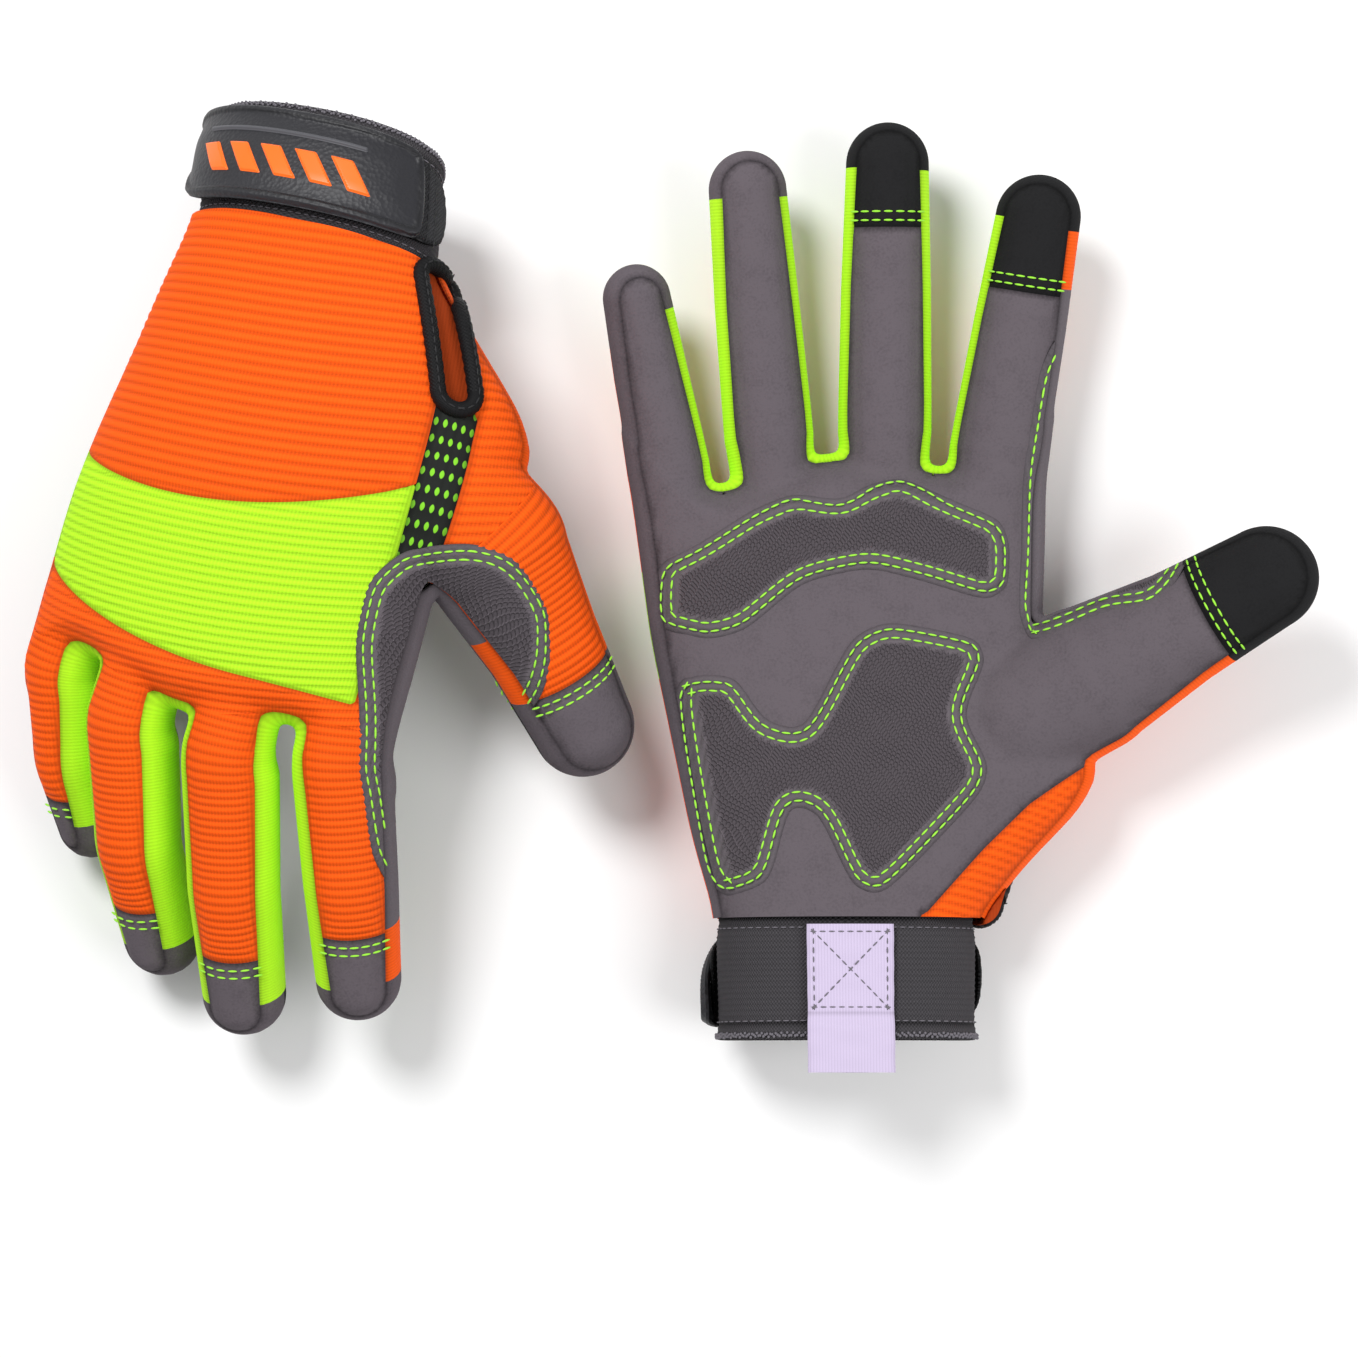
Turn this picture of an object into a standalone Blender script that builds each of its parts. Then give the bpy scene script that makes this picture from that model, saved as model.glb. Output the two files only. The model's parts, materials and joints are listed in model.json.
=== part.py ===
"""A pair of work gloves: sewn panels, jointed finger sleeves and a hook-and-loop wrist strap.

Two gloves for the same hand lie side by side on a flat surface, one back up and one palm up.
Each is modelled in a flat hand frame: +X towards the thumb, +Y towards the fingertips and
+Z out of the palm. The hand is then bent into a shallow arch and laid down by its own empty.
"""

import math

import bmesh
import bpy
from mathutils import Matrix, Vector

# Sizes are in millimetres and angles in degrees. MM turns a size into Blender's metres.
MM = 0.001

# Cloth and clearances
PANEL = 1.4  # thickness of a sewn panel
GAP = 0.4  # clearance between neighbouring pieces
KNUCKLE_GAP = 3.0  # cloth left out between the hand's panels and the finger sleeves
THUMB_GAP = 3.0  # and between the hand's panels and the thumb's sleeve
PAD = 2.6  # thickness of a foam-backed palm pad
PATCH = 1.2  # thickness of a sewn-on patch

# Wrist
CUFF_LENGTH = 33.0
CUFF_HALF_WIDTH = 34.5
CUFF_HALF_DEPTH = 16.5
STRAP_WIDTH = 24.0
STRAP_CENTRE = 16.5  # distance of the strap's middle from the hem
STRAP_ROOT = 334.0  # angle round the wrist of the seam that the strap swings on
STRAP_COVER = (198.0, 318.0)  # angles that the strap's rubber cover spans
STRAP_TAB_END = 200.0
LOOP_SPAN = (204.0, 262.0)
LOOP_MARGIN = 3.0  # how far the loop patch stays inside the strap's edges
TAB_WIDTH = 25.0
TAB_THICKNESS = 1.6
TAB_OVERHANG = 9.0  # how far the pull tab reaches past the hem
SLIT_LENGTH = 32.0
SLIT_WIDTH = 9.0
SLIT_ANGLE = 313.0
BINDING_RADIUS = 1.5
BINDING_LIFT = 0.6  # clearance under the binding, which is stiffer than the cloth it follows
BINDING_POINTS = 20

# Hand
HAND_LENGTH = 163.0  # hem to the middle knuckle line
PALM_HALF_DEPTH = 15.0
KNUCKLE_HALF_DEPTH = 12.5
EDGE_POWER = 2.5  # squareness of the hand's section
KNUCKLE_DROP = 10.5  # how far the line of knuckles falls towards the little finger

# Seams of the hand, as angles round its section and distances from the hem
PALM_SPAN = (2.0, 177.0)
BACK_SPAN = (183.0, 300.0)
KNUCKLE_SPAN = (183.0, 357.0)
GUSSET_SPAN = (301.0, 322.0)
THUMB_SPAN = (326.0, 356.0)
SADDLE_SPAN = (-52.0, 30.0)
KNUCKLE_PAD_SPAN = (36.0, 158.0)
HEEL_PAD_SPAN = (60.0, 158.0)
GUSSET_END = HAND_LENGTH - 57.0
SADDLE_START = HAND_LENGTH - 46.0
SADDLE_END = HAND_LENGTH - 13.0
HEEL_PAD_START = CUFF_LENGTH + 8.0

# Digits: knuckle (x, y) and direction in the flat hand, first and second lengths,
# then half widths at the knuckle, at the middle joint and near the tip.
DIGITS = {
    "pinky": ((-47.5, HAND_LENGTH - 10.5), -13.0, 25.5, 29.5, 10.6, 9.9, 9.2),
    "ring": ((-20.5, HAND_LENGTH - 1.5), -6.0, 35.0, 41.0, 12.0, 11.4, 10.4),
    "middle": ((11.0, HAND_LENGTH), 0.5, 38.0, 44.0, 12.6, 12.0, 11.0),
    "index": ((41.5, HAND_LENGTH - 6.0), 10.5, 34.0, 40.0, 13.0, 12.2, 11.2),
    "thumb": ((65.0, 93.0), 63.0, 31.0, 36.0, 19.5, 15.6, 13.6),
}
CAP_LENGTH = {"pinky": 21.0, "ring": 25.0, "middle": 27.0, "index": 28.0, "thumb": 27.0}
CAP_POWER = 2.6  # squareness of a cap's end
TIP_EASE = 0.3  # how much wider the caps and the sleeves' ends are than the finger
DIGIT_DEPTH = 0.92  # a sleeve's half depth as a share of its half width
KNUCKLE_CURL = 60.0  # most that a digit bends at its knuckle, towards the palm
MIDDLE_CURL = 60.0  # most that it bends at its middle joint
THUMB_CURL = 40.0

# How each glove lies: its bends, its place, and how each digit rests. A digit's rest is
# its turn in the hand's plane, then its curl at each joint. sway bends the wrist sideways,
# and fullness is how far a filled glove's sleeves stand wider than a flat one's.
GLOVES = {
    "back_up": {
        "arch_radius": 115.0,
        "long_radius": 360.0,
        "arch_centre": 12.0,
        "long_centre": 80.0,
        "sway": 12.0,
        "fullness": 1.06,
        "turn": (173.0, -7.0, -14.5),
        "place": (-84.0, 142.0, 36.5),
        "rest": {
            "pinky": (-12.0, 14.0, 15.0),
            "ring": (-10.0, 14.0, 15.0),
            "middle": (-10.4, 11.0, 10.0),
            "index": (-10.2, 6.0, 8.0),
            "thumb": (14.0, 4.0, 6.0),
        },
    },
    "palm_up": {
        "arch_radius": 260.0,
        "long_radius": 900.0,
        "arch_centre": 0.0,
        "long_centre": 100.0,
        "sway": 0.0,
        "fullness": 1.0,
        "turn": (-2.5, 0.0, 0.0),
        "place": (44.5, -96.0, 19.5),
        "rest": {
            "pinky": (0.0, 3.0, 5.0),
            "ring": (0.0, 3.0, 4.0),
            "middle": (0.0, 2.0, 4.0),
            "index": (0.0, 3.0, 5.0),
            "thumb": (0.0, 4.0, 5.0),
        },
    },
}

# The hand's flat outline and half depth against the distance from the hem.
LEFT_EDGE = [
    (0, -CUFF_HALF_WIDTH), (CUFF_LENGTH, -CUFF_HALF_WIDTH - 0.5), (54, -41.5), (80, -46.5),
    (107, -52.0), (128, -55.0), (HAND_LENGTH + 5, -59.0),
]
RIGHT_EDGE = [
    (0, CUFF_HALF_WIDTH), (CUFF_LENGTH, CUFF_HALF_WIDTH + 0.5), (52, 49.0), (68, 63.0), (79, 65.0),
    (91, 60.0), (108, 53.0), (130, 53.5), (HAND_LENGTH + 5, 56.0),
]
HALF_DEPTH = [
    (0, CUFF_HALF_DEPTH), (CUFF_LENGTH, CUFF_HALF_DEPTH), (75, PALM_HALF_DEPTH),
    (130, KNUCKLE_HALF_DEPTH + 1), (HAND_LENGTH + 5, KNUCKLE_HALF_DEPTH),
]
THUMB_MOUTH = [(0, 0), (60, 0), (72, 0.85), (104, 0.85), (114, 0), (HAND_LENGTH + 5, 0)]

COLOURS = {
    "suede_grey": ((0.105, 0.095, 0.105), 0.9),
    "knit_orange": ((1.0, 0.12, 0.01), 0.75),
    "knit_lime": ((0.45, 0.95, 0.03), 0.75),
    "pad_grey": ((0.09, 0.085, 0.095), 0.8),
    "mesh_black": ((0.012, 0.016, 0.012), 0.8),
    "elastic_grey": ((0.06, 0.058, 0.065), 0.85),
    "binding_black": ((0.008, 0.008, 0.009), 0.7),
    "strap_rubber": ((0.012, 0.012, 0.014), 0.45),
    "tape_lavender": ((0.62, 0.58, 0.72), 0.6),
}


def clear_scene():
    for obj in list(bpy.data.objects):
        bpy.data.objects.remove(obj)


def make_material(name):
    colour, roughness = COLOURS[name]
    material = bpy.data.materials.new(name)
    material.use_nodes = True
    shader = material.node_tree.nodes["Principled BSDF"]
    shader.inputs["Base Color"].default_value = (*colour, 1.0)
    shader.inputs["Roughness"].default_value = roughness
    shader.inputs["Metallic"].default_value = 0.0
    return material


def along(at, points):
    """The value at a distance along a profile of (distance, value) points."""
    if at <= points[0][0]:
        return points[0][1]
    for (a, low), (b, high) in zip(points, points[1:]):
        if at <= b:
            share = (at - a) / (b - a)
            return low + (high - low) * share
    return points[-1][1]


def knuckle_line(x):
    """Distance from the hem to the line of knuckles at a place across the hand."""
    return HAND_LENGTH - KNUCKLE_DROP * ((x - 6.0) / 52.0) ** 2


def stripe_top(x):
    """The wrist side of the bright stripe across the back, at a place across the hand."""
    return HAND_LENGTH - 59.0 - 12.0 * ((x + 12.0) / 45.0) ** 2


def stripe_bottom(x):
    return HAND_LENGTH - 20.0 - 20.0 * (max(0.0, 12.0 - x) / 68.0) ** 2


def knuckle_pad_start(x):
    return HAND_LENGTH - 50.0 + 0.004 * (x - 5.0) ** 2


def knuckle_pad_end(x):
    return HAND_LENGTH - 24.0 + 4.0 * math.cos(x / 14.0)


def heel_pad_end(x):
    return HAND_LENGTH - 65.0 + 8.0 * math.cos((x - 18.0) / 12.0)


def flat_hand(angle, y, offset):
    """A point of the flat hand's skin. Angle 0 is the thumb's edge and 90 the palm."""
    left, right = along(y, LEFT_EDGE), along(y, RIGHT_EDGE)
    depth = along(y, HALF_DEPTH) + offset
    middle, half = (left + right) / 2, (right - left) / 2 + offset
    c, s = math.cos(math.radians(angle)), math.sin(math.radians(angle))
    across = math.copysign(abs(c) ** (2 / EDGE_POWER), c)
    up = abs(s) ** (2 / EDGE_POWER)
    if c > 0:
        up = max(up, along(y, THUMB_MOUTH) * min(1.0, c * 3))
    return Vector((middle + half * across, y, math.copysign(depth * up, s)))


def bend(point, glove):
    """Bends a point of the flat hand into the glove's arch, hollow towards the palm."""
    long_radius, arch_radius = glove["long_radius"], glove["arch_radius"]
    towards_hem = max(0.0, 1.0 - point.y / glove["long_centre"])
    across = point.x - glove["sway"] * towards_hem**2
    a = (point.y - glove["long_centre"]) / long_radius
    y = glove["long_centre"] + (long_radius - point.z) * math.sin(a)
    z = long_radius - (long_radius - point.z) * math.cos(a)
    g = (across - glove["arch_centre"]) / arch_radius
    x = glove["arch_centre"] + (arch_radius - z) * math.sin(g)
    return Vector((x, y, arch_radius - (arch_radius - z) * math.cos(g)))


def new_object(name, shape, material, parent, thickness=0.0, outwards=False):
    """Turns a bmesh in millimetres into a named object, with its wall from Solidify."""
    bmesh.ops.scale(shape, vec=(MM, MM, MM), verts=shape.verts)
    mesh = bpy.data.meshes.new(name)
    shape.to_mesh(mesh)
    shape.free()
    obj = bpy.data.objects.new(name, mesh)
    parts.objects.link(obj)
    obj.parent = parent
    mesh.materials.append(material)
    mesh.shade_smooth()
    if thickness:
        wall = obj.modifiers.new("wall", "SOLIDIFY")
        wall.thickness = thickness * MM
        wall.offset = 1.0 if outwards else -1.0
        wall.use_even_offset = False
    return obj


def grid_panel(name, point_at, steps, material, parent, thickness=PANEL, outwards=False):
    """An open sheet whose two directions run from 0 to 1, shaped by point_at, with a wall."""
    shape = bmesh.new()
    bmesh.ops.create_grid(shape, x_segments=steps[0], y_segments=steps[1], size=0.5)
    centre = Vector((0, 0, 0))
    for vert in shape.verts:
        vert.co, inside = point_at(vert.co.x + 0.5, vert.co.y + 0.5)
        centre += inside
    shape.normal_update()
    centre /= len(shape.verts)
    facing = sum(f.normal.dot(f.calc_center_median() - centre) * f.calc_area() for f in shape.faces)
    if facing < 0:
        bmesh.ops.reverse_faces(shape, faces=shape.faces)
    return new_object(name, shape, material, parent, thickness, outwards)


def hand_panel(name, glove, span, low, high, steps, material, parent, offset=0.0, **wall):
    """A panel of the hand between two angles, from low to high along it.
    low and high take the place across the flat hand, so that a seam can curve."""

    def point_at(a, b):
        angle = span[0] + (span[1] - span[0]) * a
        x = flat_hand(angle, HAND_LENGTH * 0.6, offset).x
        y = low(x) + (high(x) - low(x)) * b
        skin = flat_hand(angle, y, offset)
        return bend(skin, glove), bend(Vector((skin.x * 0.9, y, 0)), glove)

    return grid_panel(name, point_at, steps, material, parent, **wall)


def ring_tube(name, point_at, sides, rows, material, parent, thickness=PANEL):
    """A tube open at both ends. point_at takes an angle and a share of its length."""
    shape = bmesh.new()
    bmesh.ops.create_grid(shape, x_segments=sides, y_segments=rows, size=0.5)
    for vert in shape.verts:
        vert.co = point_at(360.0 * (vert.co.x + 0.5), vert.co.y + 0.5)
    bmesh.ops.remove_doubles(shape, verts=shape.verts, dist=1e-3)
    bmesh.ops.recalc_face_normals(shape, faces=shape.faces)
    axis = sum((v.co for v in shape.verts), Vector()) / len(shape.verts)
    facing = sum(f.normal.dot(f.calc_center_median() - axis) for f in shape.faces)
    if facing < 0:
        bmesh.ops.reverse_faces(shape, faces=shape.faces)
    return new_object(name, shape, material, parent, thickness)


def sleeve(name, start, end, curls, material, parent):
    """A finger sleeve along +Y. start and end are (place, half width), and curls is how far
    each end's joint bends: the palm side is cut back so that the bend has room."""

    def point_at(angle, share):
        c, s = math.cos(math.radians(angle)), math.sin(math.radians(angle))
        width = start[1] + (end[1] - start[1]) * share
        x, z = width * c, width * DIGIT_DEPTH * s
        relief = [max(0.0, z) * math.tan(math.radians(curl / 2)) for curl in curls]
        low = start[0] + GAP / 2 + relief[0]
        high = end[0] - GAP / 2 - relief[1]
        return Vector((x, low + (high - low) * share, z))

    return ring_tube(name, point_at, 14, 2, material, parent)


def tip_cap(name, start, length, half_width, material, parent):
    """A round-ended thimble along +Y that closes a digit."""
    shape = bmesh.new()
    bmesh.ops.create_uvsphere(shape, u_segments=14, v_segments=8, radius=1.0)
    below = [v for v in shape.verts if v.co.z < -0.01]
    bmesh.ops.delete(shape, geom=below, context="VERTS")
    for vert in shape.verts:
        out = min(1.0, math.hypot(vert.co.x, vert.co.y))
        reach = (1.0 - out**CAP_POWER) ** (1 / CAP_POWER)
        vert.co = Vector((vert.co.x * half_width, start + length * reach,
                          vert.co.y * half_width * DIGIT_DEPTH))
    bmesh.ops.recalc_face_normals(shape, faces=shape.faces)
    facing = sum(f.normal.dot(f.calc_center_median() - Vector((0, start, 0))) for f in shape.faces)
    if facing < 0:
        bmesh.ops.reverse_faces(shape, faces=shape.faces)
    return new_object(name, shape, material, parent, PANEL)


def empty(name, parent, matrix):
    obj = bpy.data.objects.new(name, None)
    parts.objects.link(obj)
    obj.parent = parent
    obj.matrix_local = matrix
    return obj


def digit_frame(glove, digit):
    """The frame at a digit's knuckle in the bent hand: +Y along it and +Z out of the palm."""
    (x, y), direction = DIGITS[digit][0], math.radians(DIGITS[digit][1])
    turn, curl = glove["rest"][digit][:2]
    knuckle = Vector((x, y, 0))
    ahead = Vector((math.sin(direction), math.cos(direction), 0))
    at = bend(knuckle, glove)
    along_y = (bend(knuckle + ahead, glove) - at).normalized()
    palm = (bend(knuckle + Vector((0, 0, 1)), glove) - at).normalized()
    side = along_y.cross(palm).normalized()
    palm = side.cross(along_y)
    frame = Matrix((side, along_y, palm)).transposed().to_4x4()
    frame = Matrix.Translation(at * MM) @ frame
    rest = Matrix.Rotation(math.radians(turn), 4, "Z")
    return frame @ rest @ Matrix.Rotation(math.radians(curl), 4, "X")


def make_digit(glove_name, glove, digit, hand, materials):
    """Two sleeves and a cap, hung on an empty at each joint."""
    _, _, first, second, *widths = DIGITS[digit]
    wide, mid, tip = (width * glove["fullness"] for width in widths)
    tip += TIP_EASE
    rest_fold = glove["rest"][digit][2]
    knuckle_bend = THUMB_CURL if digit == "thumb" else KNUCKLE_CURL
    knuckle = empty(f"{glove_name}.{digit}_knuckle", hand, digit_frame(glove, digit))
    fold = Matrix.Rotation(math.radians(rest_fold), 4, "X")
    joint = empty(f"{glove_name}.{digit}_joint", knuckle,
                  Matrix.Translation((0, first * MM, 0)) @ fold)
    start = THUMB_GAP if digit == "thumb" else KNUCKLE_GAP / 2
    sleeve(f"{glove_name}.{digit}_base", (start, wide), (first, mid),
           (knuckle_bend, MIDDLE_CURL + rest_fold), materials["knit_orange"], knuckle)
    cap = CAP_LENGTH[digit]
    seam = second - cap
    sleeve(f"{glove_name}.{digit}_end", (0, mid), (seam, tip),
           (MIDDLE_CURL + rest_fold, 0), materials["suede_grey"], joint)
    tip_cap(f"{glove_name}.{digit}_cap", seam + GAP / 2, cap - GAP / 2, tip,
            materials["suede_grey"], joint)


def make_hand(name, glove, hand, materials):
    """The sewn panels between the cuff and the knuckles, and the patches on the palm."""
    relief = KNUCKLE_HALF_DEPTH * math.tan(math.radians(KNUCKLE_CURL / 2))
    orange, lime = materials["knit_orange"], materials["knit_lime"]
    suede, padding = materials["suede_grey"], materials["pad_grey"]

    def hem(x):
        return CUFF_LENGTH + GAP

    def knuckles(x):
        return knuckle_line(x) - KNUCKLE_GAP / 2

    def palm_end(x):
        return knuckles(x) - relief

    def knuckle_start(x):
        return max(stripe_bottom(x), SADDLE_START) + GAP / 2

    hand_panel(f"{name}.palm_panel", glove, PALM_SPAN, hem, palm_end, (16, 7), suede, hand)
    hand_panel(f"{name}.back_panel", glove, BACK_SPAN, hem,
               lambda x: stripe_top(x) - GAP / 2, (12, 6), orange, hand)
    hand_panel(f"{name}.back_stripe", glove, BACK_SPAN, lambda x: stripe_top(x) + GAP / 2,
               lambda x: stripe_bottom(x) - GAP / 2, (12, 4), lime, hand)
    hand_panel(f"{name}.knuckle_panel", glove, KNUCKLE_SPAN, knuckle_start, knuckles,
               (18, 3), orange, hand)
    hand_panel(f"{name}.mesh_gusset", glove, GUSSET_SPAN,
               lambda x: CUFF_LENGTH + SLIT_LENGTH + 2 * BINDING_RADIUS, lambda x: GUSSET_END,
               (4, 4), materials["mesh_black"], hand)
    hand_panel(f"{name}.thumb_panel", glove, THUMB_SPAN, hem, lambda x: GUSSET_END,
               (4, 7), orange, hand)
    hand_panel(f"{name}.saddle_patch", glove, SADDLE_SPAN, lambda x: SADDLE_START,
               lambda x: SADDLE_END - relief, (8, 3), padding, hand,
               offset=GAP, thickness=PATCH, outwards=True)
    hand_panel(f"{name}.knuckle_pad", glove, KNUCKLE_PAD_SPAN, knuckle_pad_start,
               knuckle_pad_end, (10, 3), padding, hand,
               offset=GAP, thickness=PAD, outwards=True)
    hand_panel(f"{name}.heel_pad", glove, HEEL_PAD_SPAN, lambda x: HEEL_PAD_START,
               heel_pad_end, (10, 5), padding, hand,
               offset=GAP, thickness=PAD, outwards=True)


def make_wrist(name, glove, hand, materials):
    """The elastic cuff, its pull tab, the vent's binding, and the strap with its fastener."""

    def cuff_at(angle, share):
        return bend(flat_hand(angle, CUFF_LENGTH * share, 0), glove)

    ring_tube(f"{name}.cuff_band", cuff_at, 28, 2, materials["elastic_grey"], hand)

    half_tab = math.degrees(math.asin((TAB_WIDTH / 2) / CUFF_HALF_WIDTH))
    hand_panel(f"{name}.pull_tab", glove, (90.0 - half_tab, 90.0 + half_tab),
               lambda x: -TAB_OVERHANG, lambda x: CUFF_LENGTH - 3.0, (4, 4),
               materials["tape_lavender"], hand, offset=GAP, thickness=TAB_THICKNESS, outwards=True)

    low, high = STRAP_CENTRE - STRAP_WIDTH / 2, STRAP_CENTRE + STRAP_WIDTH / 2
    hand_panel(f"{name}.loop_patch", glove, LOOP_SPAN, lambda x: low + LOOP_MARGIN,
               lambda x: high - LOOP_MARGIN, (8, 1), materials["elastic_grey"], hand,
               offset=GAP, thickness=PATCH, outwards=True)

    tab_lift = GAP + PATCH + GAP
    root = bend(flat_hand(STRAP_ROOT, STRAP_CENTRE, tab_lift), glove)
    swing = empty(f"{name}.strap_root", hand, Matrix.Translation(root * MM))
    strap = hand_panel(f"{name}.strap_tab", glove, (STRAP_TAB_END, STRAP_ROOT), lambda x: low,
                       lambda x: high, (16, 1), materials["binding_black"], swing,
                       offset=tab_lift, thickness=PATCH, outwards=True)
    cover = hand_panel(f"{name}.strap_cover", glove, STRAP_COVER, lambda x: low,
                       lambda x: high, (14, 1), materials["strap_rubber"], swing,
                       offset=tab_lift + PATCH + GAP, thickness=PATCH, outwards=True)
    for piece in (strap, cover):
        piece.data.transform(Matrix.Translation(-root * MM))

    make_binding(name, glove, hand, materials)


def make_binding(name, glove, hand, materials):
    """A rolled binding round the wrist vent, as a closed loop of tube on the skin."""
    start, end = CUFF_LENGTH + 3.0, CUFF_LENGTH + SLIT_LENGTH
    half = SLIT_WIDTH / 2
    reach = (end - start) / 2 - half
    curve = bpy.data.curves.new(f"{name}.slit_binding", "CURVE")
    curve.dimensions = "3D"
    curve.bevel_depth = BINDING_RADIUS * MM
    curve.bevel_resolution = 1
    spline = curve.splines.new("POLY")
    spline.points.add(BINDING_POINTS - 1)
    spline.use_cyclic_u = True
    for i, point in enumerate(spline.points):
        turn = 2 * math.pi * (i + 0.5) / BINDING_POINTS
        x = half * math.cos(turn)
        y = half * math.sin(turn) + math.copysign(reach, math.sin(turn))
        angle = SLIT_ANGLE + math.degrees(x / (CUFF_HALF_WIDTH + 6.0))
        skin = flat_hand(angle, (start + end) / 2 + y, BINDING_RADIUS + BINDING_LIFT)
        point.co = (*(bend(skin, glove) * MM), 1.0)
    binding = bpy.data.objects.new(f"{name}.slit_binding", curve)
    parts.objects.link(binding)
    binding.parent = hand
    curve.materials.append(materials["binding_black"])


def make_glove(name, glove, materials):
    turn = [Matrix.Rotation(math.radians(a), 4, axis) for a, axis in zip(glove["turn"], "XYZ")]
    place = Matrix.Translation(Vector(glove["place"]) * MM)
    hand = empty(name, None, place @ turn[2] @ turn[1] @ turn[0])
    make_hand(name, glove, hand, materials)
    make_wrist(name, glove, hand, materials)
    for digit in DIGITS:
        make_digit(name, glove, digit, hand, materials)
    return hand


def corners(objects):
    """The lowest and highest corners of some objects, with their modifiers."""
    bpy.context.view_layer.update()
    graph = bpy.context.evaluated_depsgraph_get()
    points = []
    for obj in objects:
        evaluated = obj.evaluated_get(graph)
        points += [evaluated.matrix_world @ v.co for v in evaluated.to_mesh().vertices]
        evaluated.to_mesh_clear()
    low = Vector(min(p[i] for p in points) for i in range(3))
    return low, Vector(max(p[i] for p in points) for i in range(3))


def settle(hands):
    """Lays each glove on the surface, with the pair's box centred on the origin."""
    solids = [obj for obj in parts.objects if obj.type != "EMPTY"]
    for name, hand in hands.items():
        low, _ = corners([obj for obj in solids if obj.name.startswith(name)])
        hand.location.z -= low.z
    low, high = corners(solids)
    for hand in hands.values():
        hand.location.x -= (low.x + high.x) / 2
        hand.location.y -= (low.y + high.y) / 2


clear_scene()
parts = bpy.data.collections.new("work_gloves")
bpy.context.scene.collection.children.link(parts)
all_materials = {name: make_material(name) for name in COLOURS}
settle({name: make_glove(name, glove, all_materials) for name, glove in GLOVES.items()})
bpy.context.view_layer.update()
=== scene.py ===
import json
import math

import bpy
import numpy as np
from mathutils import Matrix, Vector

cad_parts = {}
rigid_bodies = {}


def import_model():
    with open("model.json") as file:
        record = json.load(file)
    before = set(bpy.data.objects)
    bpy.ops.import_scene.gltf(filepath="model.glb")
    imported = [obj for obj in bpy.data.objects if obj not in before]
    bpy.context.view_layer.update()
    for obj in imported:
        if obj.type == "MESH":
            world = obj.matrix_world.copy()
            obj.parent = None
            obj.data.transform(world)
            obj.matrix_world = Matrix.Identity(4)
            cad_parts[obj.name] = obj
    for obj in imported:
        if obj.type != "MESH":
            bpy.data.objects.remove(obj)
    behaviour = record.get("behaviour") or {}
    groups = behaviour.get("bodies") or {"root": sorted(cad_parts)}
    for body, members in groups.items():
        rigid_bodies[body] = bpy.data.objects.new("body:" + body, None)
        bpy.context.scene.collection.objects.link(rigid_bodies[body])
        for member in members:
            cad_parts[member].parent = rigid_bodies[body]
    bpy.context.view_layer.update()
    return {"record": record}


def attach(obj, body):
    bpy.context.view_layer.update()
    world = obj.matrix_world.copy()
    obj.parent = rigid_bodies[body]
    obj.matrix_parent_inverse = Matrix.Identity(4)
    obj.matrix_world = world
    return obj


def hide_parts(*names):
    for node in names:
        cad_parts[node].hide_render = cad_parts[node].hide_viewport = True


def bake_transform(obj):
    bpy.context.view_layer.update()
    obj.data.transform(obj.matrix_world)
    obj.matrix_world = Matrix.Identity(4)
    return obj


for leftover in list(bpy.data.objects):
    bpy.data.objects.remove(leftover)
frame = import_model()
record = frame["record"]
hingeOf = {joint["name"]: joint for joint in record["behaviour"]["joints"]}
mm = 0.001

# The flat pattern of a right-hand glove, in millimetres: u runs towards the thumb, v from the
# hem to the fingertips and w out of the palm. Each digit has its knuckle, its direction from v
# in degrees, the lengths to its middle joint and its tip, and three half widths.
digits = {
    "pinky": {"knuckle": (-47.5, 152.5), "angle": -13.0, "first": 25.5, "long": 55.0,
              "radii": (11.0, 10.2, 9.3), "cap": 34.0, "touch": None},
    "ring": {"knuckle": (-20.5, 161.5), "angle": -6.0, "first": 35.0, "long": 76.0,
             "radii": (12.3, 11.6, 10.6), "cap": 51.0, "touch": None},
    "middle": {"knuckle": (11.0, 163.0), "angle": 0.5, "first": 38.0, "long": 82.0,
               "radii": (12.8, 12.2, 11.2), "cap": 55.0, "touch": 54.0},
    "index": {"knuckle": (41.5, 157.0), "angle": 10.5, "first": 34.0, "long": 74.0,
              "radii": (13.2, 12.5, 11.4), "cap": 46.0, "touch": 43.0},
    "thumb": {"knuckle": (65.0, 93.0), "angle": 63.0, "first": 31.0, "long": 67.0,
              "radii": (20.0, 15.6, 13.8), "cap": 38.0, "touch": 38.0},
}
thumbDrawn = {"knuckle": (64.5, 95.5), "angle": 61.4, "first": 29.0, "long": 67.6}

# How each glove lies, as the frame's own pieces do.
gloves = {
    "back_up": {"archRadius": 115.0, "longRadius": 360.0, "archCentre": 12.0, "longCentre": 80.0,
                "sway": 12.0, "turn": (173.0, -7.0, -14.5), "plump": 0.95,
                "rest": {"pinky": (-12.0, 14.0, 15.0), "ring": (-10.0, 14.0, 15.0),
                         "middle": (-10.4, 11.0, 10.0), "index": (-10.2, 6.0, 8.0),
                         "thumb": (14.0, 4.0, 6.0)}},
    "palm_up": {"archRadius": 260.0, "longRadius": 900.0, "archCentre": 0.0, "longCentre": 100.0,
                "sway": 0.0, "turn": (-2.5, 0.0, 0.0), "plump": 0.85,
                "rest": {"pinky": (0.0, 3.0, 5.0), "ring": (0.0, 3.0, 4.0),
                         "middle": (0.0, 2.0, 4.0), "index": (0.0, 3.0, 5.0),
                         "thumb": (0.0, 4.0, 5.0)}},
}

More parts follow.
